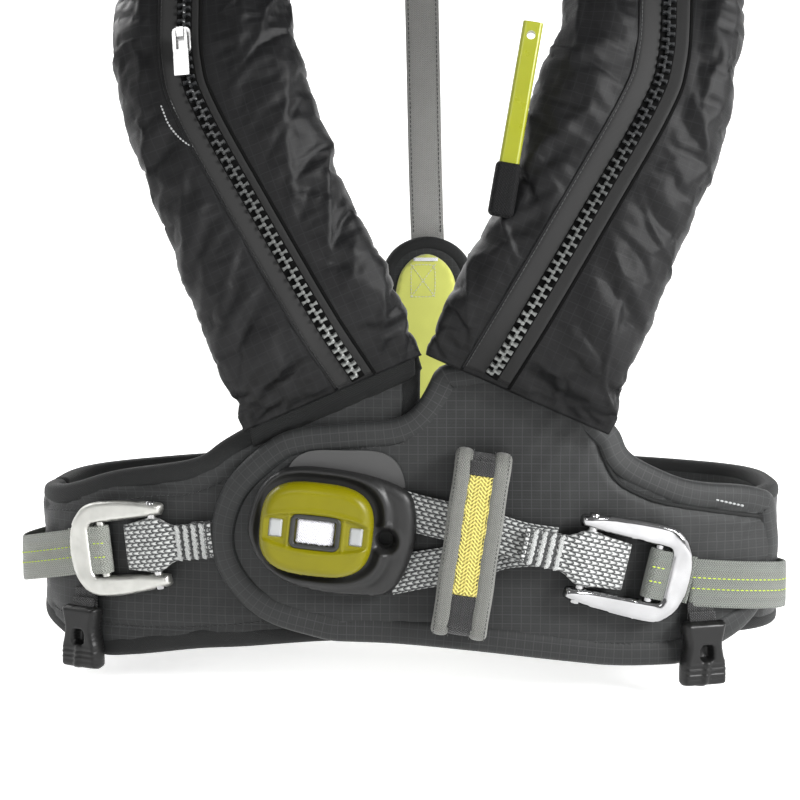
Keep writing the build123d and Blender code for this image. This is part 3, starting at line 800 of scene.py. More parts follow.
def crease(lateral, run, centre_lateral, centre_run, angle, long, wide, deep):
    """One sewn-in fold: a groove with a soft ridge beside it."""
    c, s = math.cos(angle), math.sin(angle)
    du, dv = lateral - centre_lateral, run - centre_run
    a = (du * c + dv * s) / long
    b = (-du * s + dv * c) / wide
    fade = math.exp(-a * a)
    return deep * fade * (-math.exp(-b * b) + 0.75 * math.exp(-(b - 1.6) ** 2))


# Each fold: place across the lobe and up it, slant, length, width and depth.
LEFT_FOLDS = [(-22, 30, 0.25, 26, 4.5, 3.4), (-8, 46, 0.45, 34, 5.5, 2.6),
              (18, 22, -0.35, 22, 4, 2.8), (-34, 74, 0.7, 26, 5, 2.0), (30, 60, -0.5, 20, 5, 2.0),
              (-40, 118, 0.5, 22, 5, 1.6), (38, 110, -0.9, 24, 5, 1.5),
              (-30, 160, 0.9, 30, 6, 1.6), (34, 175, -0.6, 28, 6, 1.6)]
RIGHT_FOLDS = [(6, 16, -0.1, 34, 4.5, 3.0), (30, 34, -0.35, 26, 5, 2.4), (-20, 44, 0.3, 20, 5, 1.8),
               (36, 78, -0.6, 26, 5, 2.0), (-36, 96, 0.8, 20, 5, 1.8), (34, 130, -0.3, 26, 6, 1.6),
               (-34, 140, 1.1, 22, 5, 2.2), (30, 185, -0.8, 30, 6, 1.6),
               (-30, 200, 0.5, 26, 6, 1.4)]


def ridge(p, power):
    """Sharp creases between soft cells."""
    return (1 - min(1.0, abs(noise.noise(p)) * 2.4)) ** power


def cover_relief(side, lateral, run, end_run, front):
    """How far the cloth stands off its smooth shape, in millimetres."""
    seed = Vector((side * 37.0, 11.0, 0))
    bend = 12 * noise.noise(Vector((lateral * 0.01, run * 0.012, side * 3.0)))
    soft = noise.noise(Vector((lateral * 0.022, run * 0.014, 0)) + seed) * 2.2
    slant = Vector(((lateral + run * 0.45 + bend) * 0.03, (run - lateral * 0.5) * 0.011, 3)) + seed
    cross = Vector(((lateral - run * 0.3) * 0.014, (run + lateral * 0.35 + bend) * 0.042, 7)) + seed
    fine = Vector((lateral * 0.05, (run + bend) * 0.11, 9)) + seed
    sides = min(1.0, (abs(lateral) / 46) ** 2)
    relief = soft + 1.6 * ridge(slant, 3) - 0.9 * ridge(cross, 5) - 0.5 * sides * ridge(fine, 3)
    if front:
        for fold in (LEFT_FOLDS if side < 0 else RIGHT_FOLDS):
            relief += crease(lateral, run, *fold)
    hem = math.exp(-(run / 22) ** 2)
    gathers = Vector((lateral * 0.06 + run * 0.03, run * 0.02, 4.0)) + seed
    relief += hem * (3.4 * noise.noise(Vector((lateral * 0.07, run * 0.03, side * 5.0)))
                     - 1.4 * ridge(gathers, 3))
    fade = min(1.0, (run + 2) / 7) * min(1.0, (end_run - run) / 7)
    return relief * max(0.0, fade)


def cover_mesh(name, side, q_from, q_to, rows, mat, relief_side):
    """A lofted cover between two places on the horseshoe, closed at both ends."""
    runs = [0.0]
    last = None
    frames = []
    for k in range(rows + 1):
        q = q_from + (q_to - q_from) * k / rows
        frames.append((q, lobe_frame(side, q)))
        centre = frames[-1][1][0]
        if last is not None:
            runs.append(runs[-1] + (centre - last).length)
        last = centre
    verts, uvs, zip_band = [], [], []
    for k, (q, (centre, across, face, wide, thick)) in enumerate(frames):
        zip_at = zip_lateral(q if q <= NAPE else 2 * NAPE - q)
        for j in range(COLUMNS):
            t = 2 * math.pi * j / COLUMNS
            c, s = math.cos(t), math.sin(t)
            a = math.copysign(abs(c) ** (2 / SECTION_POWER), c) * wide / 2
            b = math.copysign(abs(s) ** (2 / SECTION_POWER), s) * thick / 2
            front = s > 0
            stand = cover_relief(relief_side, a, runs[k], runs[-1], front and relief_side != 0)
            if front:
                near = math.exp(-((a - zip_at) / 22) ** 4)
                stand = stand * (1 - near) - 3.0 * math.exp(-((a - zip_at) / 11) ** 2)
                if near > 0.4:
                    zip_band.append(len(verts))
            normal = (across * (c * thick) + face * (s * wide)).normalized()
            verts.append((centre + across * a + face * b + normal * stand) * MM)
            uvs.append((a * MM * (1 if front else -1), runs[k] * MM))
    return build(name, verts, tube_faces(rows, COLUMNS), uvs, mat, "jacket"), zip_band


def swell(obj, rows, zip_band, cap):
    """Fills the cover with a little air by cloth simulation, and caps how far it moves."""
    rest = [v.co.copy() for v in obj.data.vertices]
    group = obj.vertex_groups.new(name="held")
    held = list(zip_band)
    for k in (0, 1, 2, rows - 2, rows - 1, rows):
        held += range(k * COLUMNS, (k + 1) * COLUMNS)
    group.add(held, 1.0, "REPLACE")
    cloth = obj.modifiers.new("cloth", "CLOTH")
    settings = cloth.settings
    settings.quality = 4
    settings.mass = 0.25
    settings.tension_stiffness = 12
    settings.compression_stiffness = 12
    settings.shear_stiffness = 6
    settings.bending_stiffness = 0.8
    settings.use_pressure = True
    settings.uniform_pressure_force = 4
    settings.shrink_min = -0.035
    settings.vertex_group_mass = "held"
    settings.effector_weights.gravity = 0
    cloth.collision_settings.use_collision = False
    cloth.collision_settings.use_self_collision = False
    scene = bpy.context.scene
    for k in range(1, 17):
        scene.frame_set(k)
    graph = bpy.context.evaluated_depsgraph_get()
    moved = [v.co.copy() for v in obj.evaluated_get(graph).data.vertices]
    obj.modifiers.remove(cloth)
    for vert, a, b in zip(obj.data.vertices, rest, moved):
        step = b - a
        if step.length > cap * MM:
            step *= cap * MM / step.length
        vert.co = a + step
    scene.frame_set(1)


def zip_path(side, q_from, q_to, proud, step=2.9):
    """Points along the zip on the cover, with the way the cover faces at each."""
    points, outs = [], []
    count = 400
    raw = []
    for k in range(count + 1):
        q = q_from + (q_to - q_from) * k / count
        far = q if q <= NAPE else 2 * NAPE - q
        raw.append(lobe_point(side, q, zip_lateral(far), proud))
    travelled = 0.0
    points.append(raw[0][0])
    outs.append(raw[0][1])
    for (p, _), (r, out) in zip(raw, raw[1:]):
        travelled += (r - p).length
        if travelled >= step:
            travelled -= step
            points.append(r)
            outs.append(out)
    return points, outs


TOOTH = [(-3.7, -1.2), (-2.0, -0.95), (-0.4, -0.7), (0.5, -1.4), (1.7, -1.4), (2.2, -0.7),
         (2.2, 0.7), (1.7, 1.4), (0.5, 1.4), (-0.4, 0.7), (-2.0, 0.95), (-3.7, 1.2)]


def zip_teeth(name, side, q_from, q_to):
    """Moulded teeth that reach past the middle from each side in turn."""
    points, outs = zip_path(side, q_from, q_to, 1.6)
    verts, faces = [], []
    for k in range(1, len(points) - 1):
        along = (points[k + 1] - points[k - 1]).normalized()
        out = (outs[k] - along * outs[k].dot(along)).normalized()
        across = along.cross(out)
        turn = 1 if k % 2 else -1
        base = len(verts)
        for height, grow in ((0.0, 1.0), (1.7, 1.0), (2.5, 0.68)):
            for a, b in TOOTH:
                a_in = (-1.0 + (a + 1.0) * grow) * 0.82 - 0.95
                verts.append((points[k] + across * (a_in * turn) + along * (b * grow)
                              + out * height) * MM)
        n = len(TOOTH)
        for layer in range(2):
            for j in range(n):
                a = base + layer * n + j
                b = base + layer * n + (j + 1) % n
                faces.append((a, b, b + n, a + n))
        faces.append(tuple(base + 2 * n + j for j in range(n)))
        faces.append(tuple(base + j for j in range(n)))
    return build(name, verts, faces, None, M["teeth"], "jacket", smooth=False)


def zip_tape(name, side, q_from, q_to, inner, outer):
    """The tape's smooth cloth, which follows the cover on both sides of the chain."""
    rows, columns = 150, 18
    verts, uvs = [], []
    for k in range(rows + 1):
        q = q_from + (q_to - q_from) * k / rows
        zip_at = zip_lateral(q if q <= NAPE else 2 * NAPE - q)
        for layer in (1, -1):
            for j in range(columns + 1):
                u = inner + (outer - inner) * (j if layer > 0 else columns - j) / columns
                rim = min(u - inner, outer - u)
                proud = 0.9 * min(1.0, rim / 1.5) if layer > 0 else -1.0
                p, _ = lobe_point(side, q, zip_at + u, proud)
                verts.append(p * MM)
                uvs.append((u * MM, q * 0.045))
    return build(name, verts, tube_faces(rows, 2 * (columns + 1)), uvs, M["tape"], "jacket")


def zip_gap(name, side, q_from, q_to):
    """The dark slot between the two tapes, below the chain."""
    points, outs = zip_path(side, q_from, q_to, 1.1, 3.0)
    slot = strap(name, points, lambda k: outs[k], 9.6, 1.0, M["slot"], "jacket", power=6.0)


def zip_edges(name, side, q_from, q_to, offset, mat, pitch, thick=0.6):
    """A row of stitches beside the zip."""
    points = []
    for k in range(161):
        q = q_from + (q_to - q_from) * k / 160
        far = q if q <= NAPE else 2 * NAPE - q
        points.append(lobe_point(side, q, zip_lateral(far) + offset, 1.0))
    course = [p for p, _ in points]
    find = nearest(course)
    return stitches(name, course, lambda p: points[find(p)][1], mat, "jacket", pitch=pitch,
                    raise_by=0.2, thick=thick)


def piping(name, side, q_from, q_to, offset, radius, mat, proud=0.4):
    """A raised folded edge beside the zip, where the cover's cloth is turned under."""
    points, outs = [], []
    for k in range(141):
        q = q_from + (q_to - q_from) * k / 140
        far = q if q <= NAPE else 2 * NAPE - q
        p, out = lobe_point(side, q, zip_lateral(far) + offset, proud)
        points.append(p)
        outs.append(out)
    return tube(name, points, oval(radius * 1.9, radius, 2.0, 12),
                lambda k: outs[k].cross(points[min(k + 1, 140)] - points[max(k - 1, 0)]), mat,
                "jacket")


def add_lobes():
    rows = 190
    for side, name, folds in ((-1, "left", -1), (1, "right", 1)):
        cover, zip_band = cover_mesh(f"{name}_cover_cloth", side, 0.0, SHOULDER - 0.02, rows,
                                     M["cover"], folds)
        swell(cover, rows, zip_band, 4.0)
        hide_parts(f"{name}_lobe_cover")
        start = 0.06 if side < 0 else 0.1
        inner, outer = (-10.0, 15.5) if side < 0 else (-17.5, 13.5)
        tape = zip_tape(f"{name}_zip_tape_cloth", side, start, SHOULDER, inner, outer)
        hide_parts(f"{name}_zip_tape")
        zip_gap(f"{name}_zip_slot", side, start, SHOULDER)
        teeth = zip_teeth(f"{name}_zip_chain", side, start, SHOULDER)
        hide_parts(f"{name}_zip_teeth")
        for offset, kind, look in ((inner, "inner", "slot" if side < 0 else "cover"),
                                   (outer, "outer", "cover" if side < 0 else "slot")):
            edge = piping(f"{name}_zip_fold_{kind}", side, 0.03, SHOULDER, offset, 0.55, M[look])
        row = zip_edges(f"{name}_zip_stitch", side, start, SHOULDER,
                        14.2 if side < 0 else -16.2, M["dim_thread"] if side > 0 else M["thread"],
                        3.0, 0.5)
        if side < 0:
            add_reflective_curve(cover)
    add_collar()


def add_reflective_curve(cover):
    """Two short curved rows of reflective stitches on the left cover, above its middle."""
    skin = Skin(cover)
    ahead = Vector((0, -1, 0))
    for k, line in enumerate((((-142, 342), (-136, 329), (-126, 319), (-113, 313)),
                              ((-136, 345), (-130, 333), (-121, 324), (-109, 319)))):
        course = resample(curve_points([Vector(p) for p in line], 8), 1.2)
        points, outs = [], []
        for p in course:
            hit, out = skin.drop(Vector((p.x, -150, p.y)), ahead, 0.1)
            points.append(hit)
            outs.append(out)
        find = nearest(points)
        row = stitches(f"left_reflective_curve_{k}", points, lambda p: outs[find(p)],
                       M["reflect_thread"], "jacket", pitch=2.2, long=1.7, thick=1.0)


def add_collar():
    rows = 110
    collar, zip_band = cover_mesh("collar_cloth", 1, SHOULDER, 2 * NAPE - SHOULDER, rows,
                                  M["cover"], 0)
    swell(collar, rows, zip_band, 3.0)
    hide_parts("collar_cover")
    tape = zip_tape("collar_zip_tape", 1, SHOULDER, 2 * NAPE - SHOULDER, -12.0, 12.0)
    zip_gap("collar_zip_slot", 1, SHOULDER, 2 * NAPE - SHOULDER)
    teeth = zip_teeth("collar_zip_chain", 1, SHOULDER, 2 * NAPE - SHOULDER)
    for side in (-1, 1):
        band = seam_band(f"shoulder_seam_{'left' if side < 0 else 'right'}", side, SHOULDER)


def seam_band(name, side, q):
    """The folded seam that joins a lobe cover to the collar."""
    points = []
    centre, across, face, wide, thick = lobe_frame(side, q)
    for a, b in oval(wide / 2 + 0.6, thick / 2 + 0.6, SECTION_POWER, 72):
        points.append(centre + across * a + face * b)
    return tube(name, points, oval(3.4, 1.2, 2.4, 12),
                lambda k: across.cross(face), M["binding"], "jacket", closed=True)


# ---------------------------------------------------------------- the belt's ring

def ring_point(phi, h):
    """A point of the belt's ring at the direction phi from the front, and height h on it."""
    s, c = math.sin(phi), math.cos(phi)
    r = (abs(s) ** BELT_POWER + abs(c) ** BELT_POWER) ** (1 / BELT_POWER)
    return (BELT_A + h) * s / r, -(BELT_B + h) * c / r


RING_STEPS = 2400
RING_RUNS = [0.0]
for ring_step in range(RING_STEPS):
    here = ring_point(math.pi * ring_step / RING_STEPS, 6)
    there = ring_point(math.pi * (ring_step + 1) / RING_STEPS, 6)
    RING_RUNS.append(RING_RUNS[-1] + math.dist(here, there))
HALF_RING = RING_RUNS[-1]
QUARTER_RING = RING_RUNS[RING_STEPS // 2]


def phi_at(run):
    """The direction at a distance from the front along the ring."""
    lo, hi = 0, RING_STEPS
    run = min(max(run, 0.0), HALF_RING)
    while hi - lo > 1:
        mid = (lo + hi) // 2
        if RING_RUNS[mid] <= run:
            lo = mid
        else:
            hi = mid
    t = (run - RING_RUNS[lo]) / (RING_RUNS[hi] - RING_RUNS[lo])
    return math.pi * (lo + t) / RING_STEPS


def run_of(x, end=QUARTER_RING - 10):
    """Distance along the ring of the front point with that x, up to the given end."""
    lo, hi = 0.0, QUARTER_RING
    for _ in range(40):
        mid = (lo + hi) / 2
        if ring_point(phi_at(mid), 6)[0] < abs(x):
            lo = mid
        else:
            hi = mid
    return math.copysign(min(lo, end), x)


def front_place(s, z, h):
    x, y = ring_point(phi_at(abs(s)), h)
    return Vector((math.copysign(x, s), y, z))


def back_place(s, z, h):
    """As front_place, with s from the middle of the back and to the right seen from behind."""
    x, y = ring_point(phi_at(HALF_RING - abs(s)), h)
    return Vector((-math.copysign(x, s), y, z))


def front_run(points, end=QUARTER_RING - 10):
    return [(run_of(x, end), z) for x, z in points]


def facing(place, s, z):
    return (place(s, z, 12.0) - place(s, z, 4.0)).normalized()


def inset(loop, depth):
    """A closed outline moved inwards, eased at its corners."""
    count = len(loop)
    area = sum(loop[k - 1].x * loop[k].y - loop[k].x * loop[k - 1].y for k in range(count))
    turn = 1 if area > 0 else -1
    out = []
    for k in range(count):
        along = loop[(k + 2) % count] - loop[k - 2]
        normal = Vector((-along.y, along.x)).normalized() * turn
        out.append(loop[k] + normal * depth)
    for _ in range(3):
        out = [(out[k - 1] + out[k] * 2 + out[(k + 1) % count]) / 4 for k in range(count)]
    return out


class Skin:
    """The outer surface of a finished piece, on which trims are laid."""

    def __init__(self, *pieces):
        verts, faces = [], []
        for obj in pieces:
            base = len(verts)
            verts += [v.co / MM for v in obj.data.vertices]
            faces += [tuple(base + i for i in f.vertices) for f in obj.data.polygons]
        self.tree = BVHTree.FromPolygons(verts, faces)

    def drop(self, point, out, proud=0.0):
        """The point on the surface below the given one, and the surface's direction."""
        hit, normal, _, _ = self.tree.ray_cast(point + out * 40, -out)
        if hit is None:
            return point + out * proud, out
        if normal.dot(out) < 0:
            normal = -normal
        return hit + out * proud, normal


def laid(skin, place, line, proud, step=2.0, smooth=4):
    """Points of a line laid on a surface, with the surface's direction at each."""
    points, outs = [], []
    for p in resample([Vector(q) for q in line], step):
        out = facing(place, p[0], p[1])
        point, normal = skin.drop(place(p[0], p[1], 12.0), out, proud)
        points.append(point)
        outs.append(normal)
    for _ in range(smooth):
        points = ([points[0]] + [(points[k - 1] + points[k] * 2 + points[k + 1]) / 4
                                 for k in range(1, len(points) - 1)] + [points[-1]])
        outs = ([outs[0]] + [(outs[k - 1] + outs[k] * 2 + outs[k + 1]).normalized()
                             for k in range(1, len(outs) - 1)] + [outs[-1]])
    return points, outs


def stitch_line(name, skin, place, line, mat, pitch=3.6, long=2.4, thick=0.6):
    points, outs = laid(skin, place, line, 0.1)
    find = nearest(points)
    row = stitches(name, points, lambda p: outs[find(p)], mat, "jacket", pitch=pitch,
                   long=long, thick=thick, raise_by=0.15)
    return row


def binding(name, middle, place, loop, wide=5.0, depth=3.6, deep=4.6, mat="binding"):
    """Tape folded round the edge of a padded sheet."""
    line = inset(loop, depth)
    points = []
    sides = []
    for p in line:
        points.append(place(p.x, p.y, middle))
        sides.append(facing(place, p.x, p.y))
    count = len(points)

    def across(k):
        along = points[(k + 1) % count] - points[k - 1]
        return along.cross(sides[k])

    piece = tube(name, points, oval(wide, deep, 2.8, 24), across, M[mat], "jacket", closed=True)
    return piece


def sewn(u, v, line, width, deep):
    """A sewn channel along a polyline: how far down the cloth is pulled there."""
    best = 1e9
    p = Vector((u, v))
    for a, b in zip(line, line[1:]):
        span = b - a
        t = max(0.0, min(1.0, (p - a).dot(span) / max(span.length_squared, 1e-9)))
        best = min(best, (a + span * t - p).length)
    return -deep * math.exp(-(best / width) ** 2)


def cloth_relief(u, v, seed, size=1.0):
    """Soft unevenness of padded cloth with a few slanting pulls."""
    soft = noise.noise(Vector((u * 0.02, v * 0.03, seed))) * 1.3
    pull = noise.noise(Vector(((u + v) * 0.012, (v - u) * 0.05, seed + 5)))
    fine = noise.noise(Vector((u * 0.09, v * 0.11, seed + 9))) * 0.35
    return (soft + (1 - abs(pull) * 2.5) * 0.7 + fine) * size


def add_left_front():
    top = front_run([(-262, 95), (-229, 99), (-189, 111), (-134, 120.5), (-112, 134),
                     (-60, 162), (-5, 182), (10, 190)])
    hem = front_run([(8, 9.5), (-45, 9), (-103, 4), (-135, 1.5), (-180, -5), (-205, -6),
                     (-237, 7), (-262, 14)])
    loop = outline(top, [top[-1], hem[0]], hem, [hem[-1], top[0]])
    seam = curve_points([Vector(p) for p in front_run([
        (-240, 86), (-206, 91), (-167, 100.5), (-135, 103.4), (-105, 115.6), (-60, 132)])])
    lower = curve_points([Vector(p) for p in front_run([
        (-236, 18), (-180, 12), (-120, 15), (-60, 22), (0, 24)])])

    under_hook = run_of(-150)

    def lift(u, v, depth):
        fade = min(1.0, depth / 12)
        near = math.exp(-((u - under_hook) / 24) ** 4 - ((v - 67) / 38) ** 4)
        return (cloth_relief(u, v, 2.0) * fade * (1 - near) - 2.0 * near
                + sewn(u, v, seam, 2.6, 2.2)
                + sewn(u, v, lower, 2.2, 1.4))

    panel = pad("left_front_cloth", loop, front_place, -4.0, 7.0, M["belt"], "jacket",
                round_off=9, lift=lift)
    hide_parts("left_front_panel")
    skin = Skin(panel)
    binding("left_front_binding", 1.6, front_place, loop, 7.0, 4.4, 6.2)
    stitch_line("left_front_seam_stitch", skin, front_place, [p + Vector((0, -3.4)) for p in seam],
                M["thread"])
    stitch_line("left_front_hem_stitch", skin, front_place, lower, M["thread"])
    return skin


RIGHT_FLAP = [(-42, 12.2), (-82, 24.5), (-106, 48), (-113.5, 76), (-104, 108), (-78, 134),
              (-60, 141.5), (-29, 145), (0, 148), (14, 160), (25, 181.5)]


def add_left_join(skin):
    """The cloth that joins the left cover's hem to the belt panel behind it."""
    centre, across, face, wide, thick = lobe_frame(-1, 0.06)
    columns, rows = 60, 8
    verts, uvs, faces = [], [], []
    for layer in (1, -1):
        for j in range(columns + 1):
            a = (wide / 2 - 5) * (2 * j / columns - 1)
            top = centre + across * a - face * (thick / 2 - 2.5)
            low, _ = skin.drop(Vector((top.x, -130, top.z - 15)), Vector((0, -1, 0)), -1.0)
            if low.y < -125:
                low = Vector((top.x, -104, top.z - 15))
            for k in range(rows + 1):
                t = k / rows
                p = top.lerp(low, t)
                p.z -= 2.5 * math.sin(math.pi * t)
                p.z += 0.5 * noise.noise(Vector((a * 0.12, t * 2, 6)))
                verts.append((p + Vector((0, 0.5, 0.9)) * (layer * 1.0)) * MM)
                uvs.append((a * MM, t * 0.02))
    ring = rows + 1
    half = (columns + 1) * ring

    def at(layer, j, k):
        return layer * half + j * ring + k

    for j in range(columns):
        for k in range(rows):
            faces.append((at(0, j, k), at(0, j + 1, k), at(0, j + 1, k + 1), at(0, j, k + 1)))
            faces.append((at(1, j, k), at(1, j, k + 1), at(1, j + 1, k + 1), at(1, j + 1, k)))
        for k in (0, rows):
            faces.append((at(0, j, k), at(0, j + 1, k), at(1, j + 1, k), at(1, j, k)))
    for j in (0, columns):
        for k in range(rows):
            faces.append((at(0, j, k), at(0, j, k + 1), at(1, j, k + 1), at(1, j, k)))
    join = build("left_hem_join", verts, faces, uvs, M["binding"], "jacket")


def add_right_front():
    flap = front_run(RIGHT_FLAP)
    top = front_run([(25, 181.5), (60, 184), (100, 170), (131, 141)])
    armhole = front_run([(131, 141), (136, 128), (156, 116), (178, 108), (211, 104), (228, 98)])
    edge = front_run([(228, 98), (231, 59), (214, 22), (171, -2)])
    hem = front_run([(171, -2), (132, -2), (101, 1), (51, 6.5), (0, 11), (-42, 12.2)])
    loop = outline(flap, top, armhole, edge, hem)
    piping_line = curve_points([Vector(p) for p in front_run([
        (114, 150), (117.4, 138), (128, 114), (142, 104), (158, 98), (190, 92), (222, 86)])])
    lower = curve_points([Vector(p) for p in front_run([
        (-30, 22), (10, 21), (63, 17), (101, 12), (150, 9), (180, 14)])])
    flap_row = curve_points([Vector(p) for p in front_run([
        (-38, 22), (-76, 33), (-96, 53), (-103, 77), (-94, 104), (-72, 126), (-50, 131),
        (-24, 132.4), (4, 136)])])

    def lift(u, v, depth):
        fade = min(1.0, depth / 12)
        near_release = math.exp(-((u + 48) / 60) ** 4 - ((v - 84) / 48) ** 4)
        near_loop = math.exp(-((u - 47) / 38) ** 4 - ((v - 75) / 78) ** 4)
        return (cloth_relief(u, v, 7.0) * fade * (1 - near_release) * (1 - 0.8 * near_loop)
                - 1.6 * near_release - 0.9 * near_loop
                + sewn(u, v, piping_line, 2.4, 2.0) + sewn(u, v, lower, 2.2, 1.4)
                + sewn(u, v, flap_row, 2.4, 1.5) * (1 - near_release))

    panel = pad("right_front_cloth", loop, front_place, 9.5, 19.5, M["belt"], "jacket",
                round_off=9, lift=lift)
    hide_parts("right_front_panel")
    skin = Skin(panel)
    binding("right_front_binding", 14.4, front_place, loop, 8.6, 5.4, 6.0, "belt")
    stitch_line("flap_stitch", skin, front_place, flap_row, M["thread"], thick=0.8)
    stitch_line("right_hem_stitch", skin, front_place, lower, M["thread"], thick=0.7)
    points, outs = laid(skin, front_place, piping_line, 0.5)
    cord = tube("armhole_piping", points, oval(1.4, 1.2, 2, 12),
                lambda k: outs[k].cross(points[min(k + 1, len(points) - 1)]
                                        - points[max(k - 1, 0)]), M["binding"], "jacket")
    stitch_line("armhole_tick", skin, front_place,
                [Vector(p) for p in front_run([(188, 99.5), (206, 94.5)])], M["reflect_thread"],
                pitch=3.0, long=2.6, thick=1.5)


def add_back():
    reach = QUARTER_RING + 9
    wrap = HALF_RING - run_of(205)

    def back_run(points):
        out = []
        for x, z in points:
            if abs(x) >= 262:
                out.append((reach, z) if x < 0 else (-wrap, z))
            else:
                out.append((-run_of(x, QUARTER_RING), z))
        return out

    top = back_run([(-262, 96), (-180, 102), (-90, 110), (-50, 140), (-30, 215), (-25, 244),
                    (-13, 261), (8, 267.5), (29, 261), (41, 244), (46, 215), (66, 140),
                    (106, 110), (196, 102), (262, 100)])
    hem = back_run([(262, 12), (150, 6), (0, 4), (-150, 6), (-262, 12)])
    loop = outline(top, [top[-1], hem[0]], hem, [hem[-1], top[0]])
    seams = [curve_points([Vector(p) for p in back_run(line)]) for line in (
        [(-235, 84), (-150, 90), (-80, 96), (-34, 128), (-14, 190), (-10, 238)],
        [(235, 84), (150, 90), (96, 96), (50, 128), (30, 190), (26, 238)],
        [(-235, 22), (-150, 16), (0, 13), (150, 16), (235, 22)])]

    def lift(u, v, depth):
        fade = min(1.0, depth / 12)
        return cloth_relief(u, v, 13.0) * fade + sum(sewn(u, v, s, 2.8, 2.0) for s in seams)

    panel = pad("back_cloth", loop, back_place, -4.0, 6.5, M["belt"], "jacket", round_off=9,
                lift=lift)
    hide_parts("back_panel")
    binding("back_binding", 1.4, back_place, loop, 5.4, 3.4, 6.0)
    skin = Skin(panel)
    for k, line in enumerate(seams):
        stitch_line(f"back_seam_stitch_{k}", skin, back_place,
                    [p + Vector((0, 3.2)) for p in line], M["thread"])


def add_lining():
    """The bright stretched panel inside the back pad, with its stitched box and pale bar."""
    arch = [(-18, 60), (-17, 180), (-16, 228), (-8, 248), (8, 256), (24, 248), (32, 228),
            (33, 180), (34, 60)]

    def inner_run(points):
        return [(-run_of(x, QUARTER_RING), z) for x, z in points]

    loop = outline(inner_run(arch), inner_run([(34, 60), (-18, 60)]))

    def inner_place(u, v, h):
        return back_place(u, v, -5.4 - h)

    box = inner_run([(-4, 224), (15, 224), (15, 248), (-4, 248)])

    def lift(u, v, depth):
        ripple = noise.noise(Vector((u * 0.05, v * 0.03, 31))) * 0.8
        return ripple * min(1.0, depth / 10) + 0.5 * math.sin(v * 0.09) * min(1.0, depth / 14)

    cloth = pad("back_lining_cloth", loop, inner_place, -0.8, 1.4, M["lime_cloth"], "jacket",
                round_off=2.5, spacing=2.6, lift=lift)
    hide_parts("back_pad_lining")
    skin = Skin(cloth)

    def place(u, v, h):
        return back_place(u, v, -h)

    corners = [Vector(p) for p in box]
    lines = [corners + [corners[0]], [corners[0], corners[2]], [corners[1], corners[3]]]
    for k, line in enumerate(lines):
        stitch_line(f"lining_box_stitch_{k}", skin, place, line, M["pale_thread"], pitch=2.6,
                    long=1.9, thick=0.55)
    bar = inner_run([(-2, 252), (17, 252)])
    points, outs = laid(skin, place, [Vector(p) for p in bar], 0.6)
    light = strap("lining_bar", points, lambda k: outs[k], 2.6, 0.8, M["white_tape"], "jacket")


def add_back_tunnel():
    """The sleeve on the back that the waist webbing runs through."""
    loop = outline([(118, 18), (118, 70)], [(118, 70), (-118, 70)], [(-118, 70), (-118, 18)],
                   [(-118, 18), (118, 18)])

    def lift(u, v, depth):
        webbing_inside = 1.5 * math.exp(-((v - 46) / 20) ** 4)
        return webbing_inside + cloth_relief(u, v, 21.0, 0.5) * min(1.0, depth / 8)

    tunnel = pad("back_tunnel_cloth", loop, back_place, 8.2, 10.6, M["belt"], "jacket",
                 round_off=3, spacing=3.4, lift=lift)
    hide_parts("back_tunnel")
    over = Skin(tunnel)
    for k, z in enumerate((21.5, 66.5)):
        stitch_line(f"tunnel_stitch_{k}", over, back_place, [Vector((-115, z)), Vector((115, z))],
                    M["thread"])


# ---------------------------------------------------------------- webbing

def two_rows(name, points, outs, offset, mat, body, pitch=3.4, long=2.4, thick=0.75,
             proud=1.2):
    """Two rows of stitches along webbing, one on each side of its middle."""
    for kind, sign in (("low", -1), ("high", 1)):
        line = []
        for k, p in enumerate(points):
            along = points[min(k + 1, len(points) - 1)] - points[max(k - 1, 0)]
            side = outs[k].cross(along).normalized()
            line.append(p + side * offset * sign + outs[k] * proud)
        find = nearest(line)
        row = stitches(f"{name}_{kind}", line, lambda p: outs[find(p)], mat, body,
                       pitch=pitch, long=long, thick=thick, raise_by=0.1)


def add_side_webbing():
    """Waist webbing from behind each buckle, round the side and into the tunnel."""
    for side, name in ((-1, "left"), (1, "right")):
        low_z, high_z = (33.0, 63.0) if side < 0 else (27.0, 57.0)
        start_h = 10.6 if side < 0 else 24.0
        start_z = 61.0 if side < 0 else 49.0
        end_z = (low_z + high_z) / 2
        start = run_of(203 if side < 0 else 170)
        stop = HALF_RING - 1.0
        points, outs = [], []
        for k in range(181):
            t = k / 180
            s = start + (stop - start) * t
            if side < 0:
                h = start_h + 10 * math.exp(-((s - QUARTER_RING + 42) / 32) ** 2)
                h -= 1.5 * step_up(s - QUARTER_RING - 50, 40)
            else:
                under = step_up(s - run_of(229) - 8, 8)
                again = step_up(s - QUARTER_RING - 60, 12)
                h = start_h + (4.2 - start_h) * under + 5.4 * again
            drop = min(max((s - start) / 60, 0.0), 1.0)
            z = start_z + (end_z - start_z) * drop
            z += 0.6 * math.sin(s * 0.03)
            points.append(front_place(side * s, z, h))
            outs.append(facing(front_place, side * s, z))
        # the left side takes the paler copy of the grey webbing, whose difference is painted light
        look = M["grey_web_left_painted_light"] if side < 0 else M["grey_web"]
        band = strap(f"{name}_waist_webbing", points, lambda k: outs[k], 30, 2.2, look, "jacket")
        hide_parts(f"{name}_side_webbing")
        two_rows(f"{name}_waist_stitch", points[:96], outs[:96], 3.4, M["lime_thread"], "jacket")


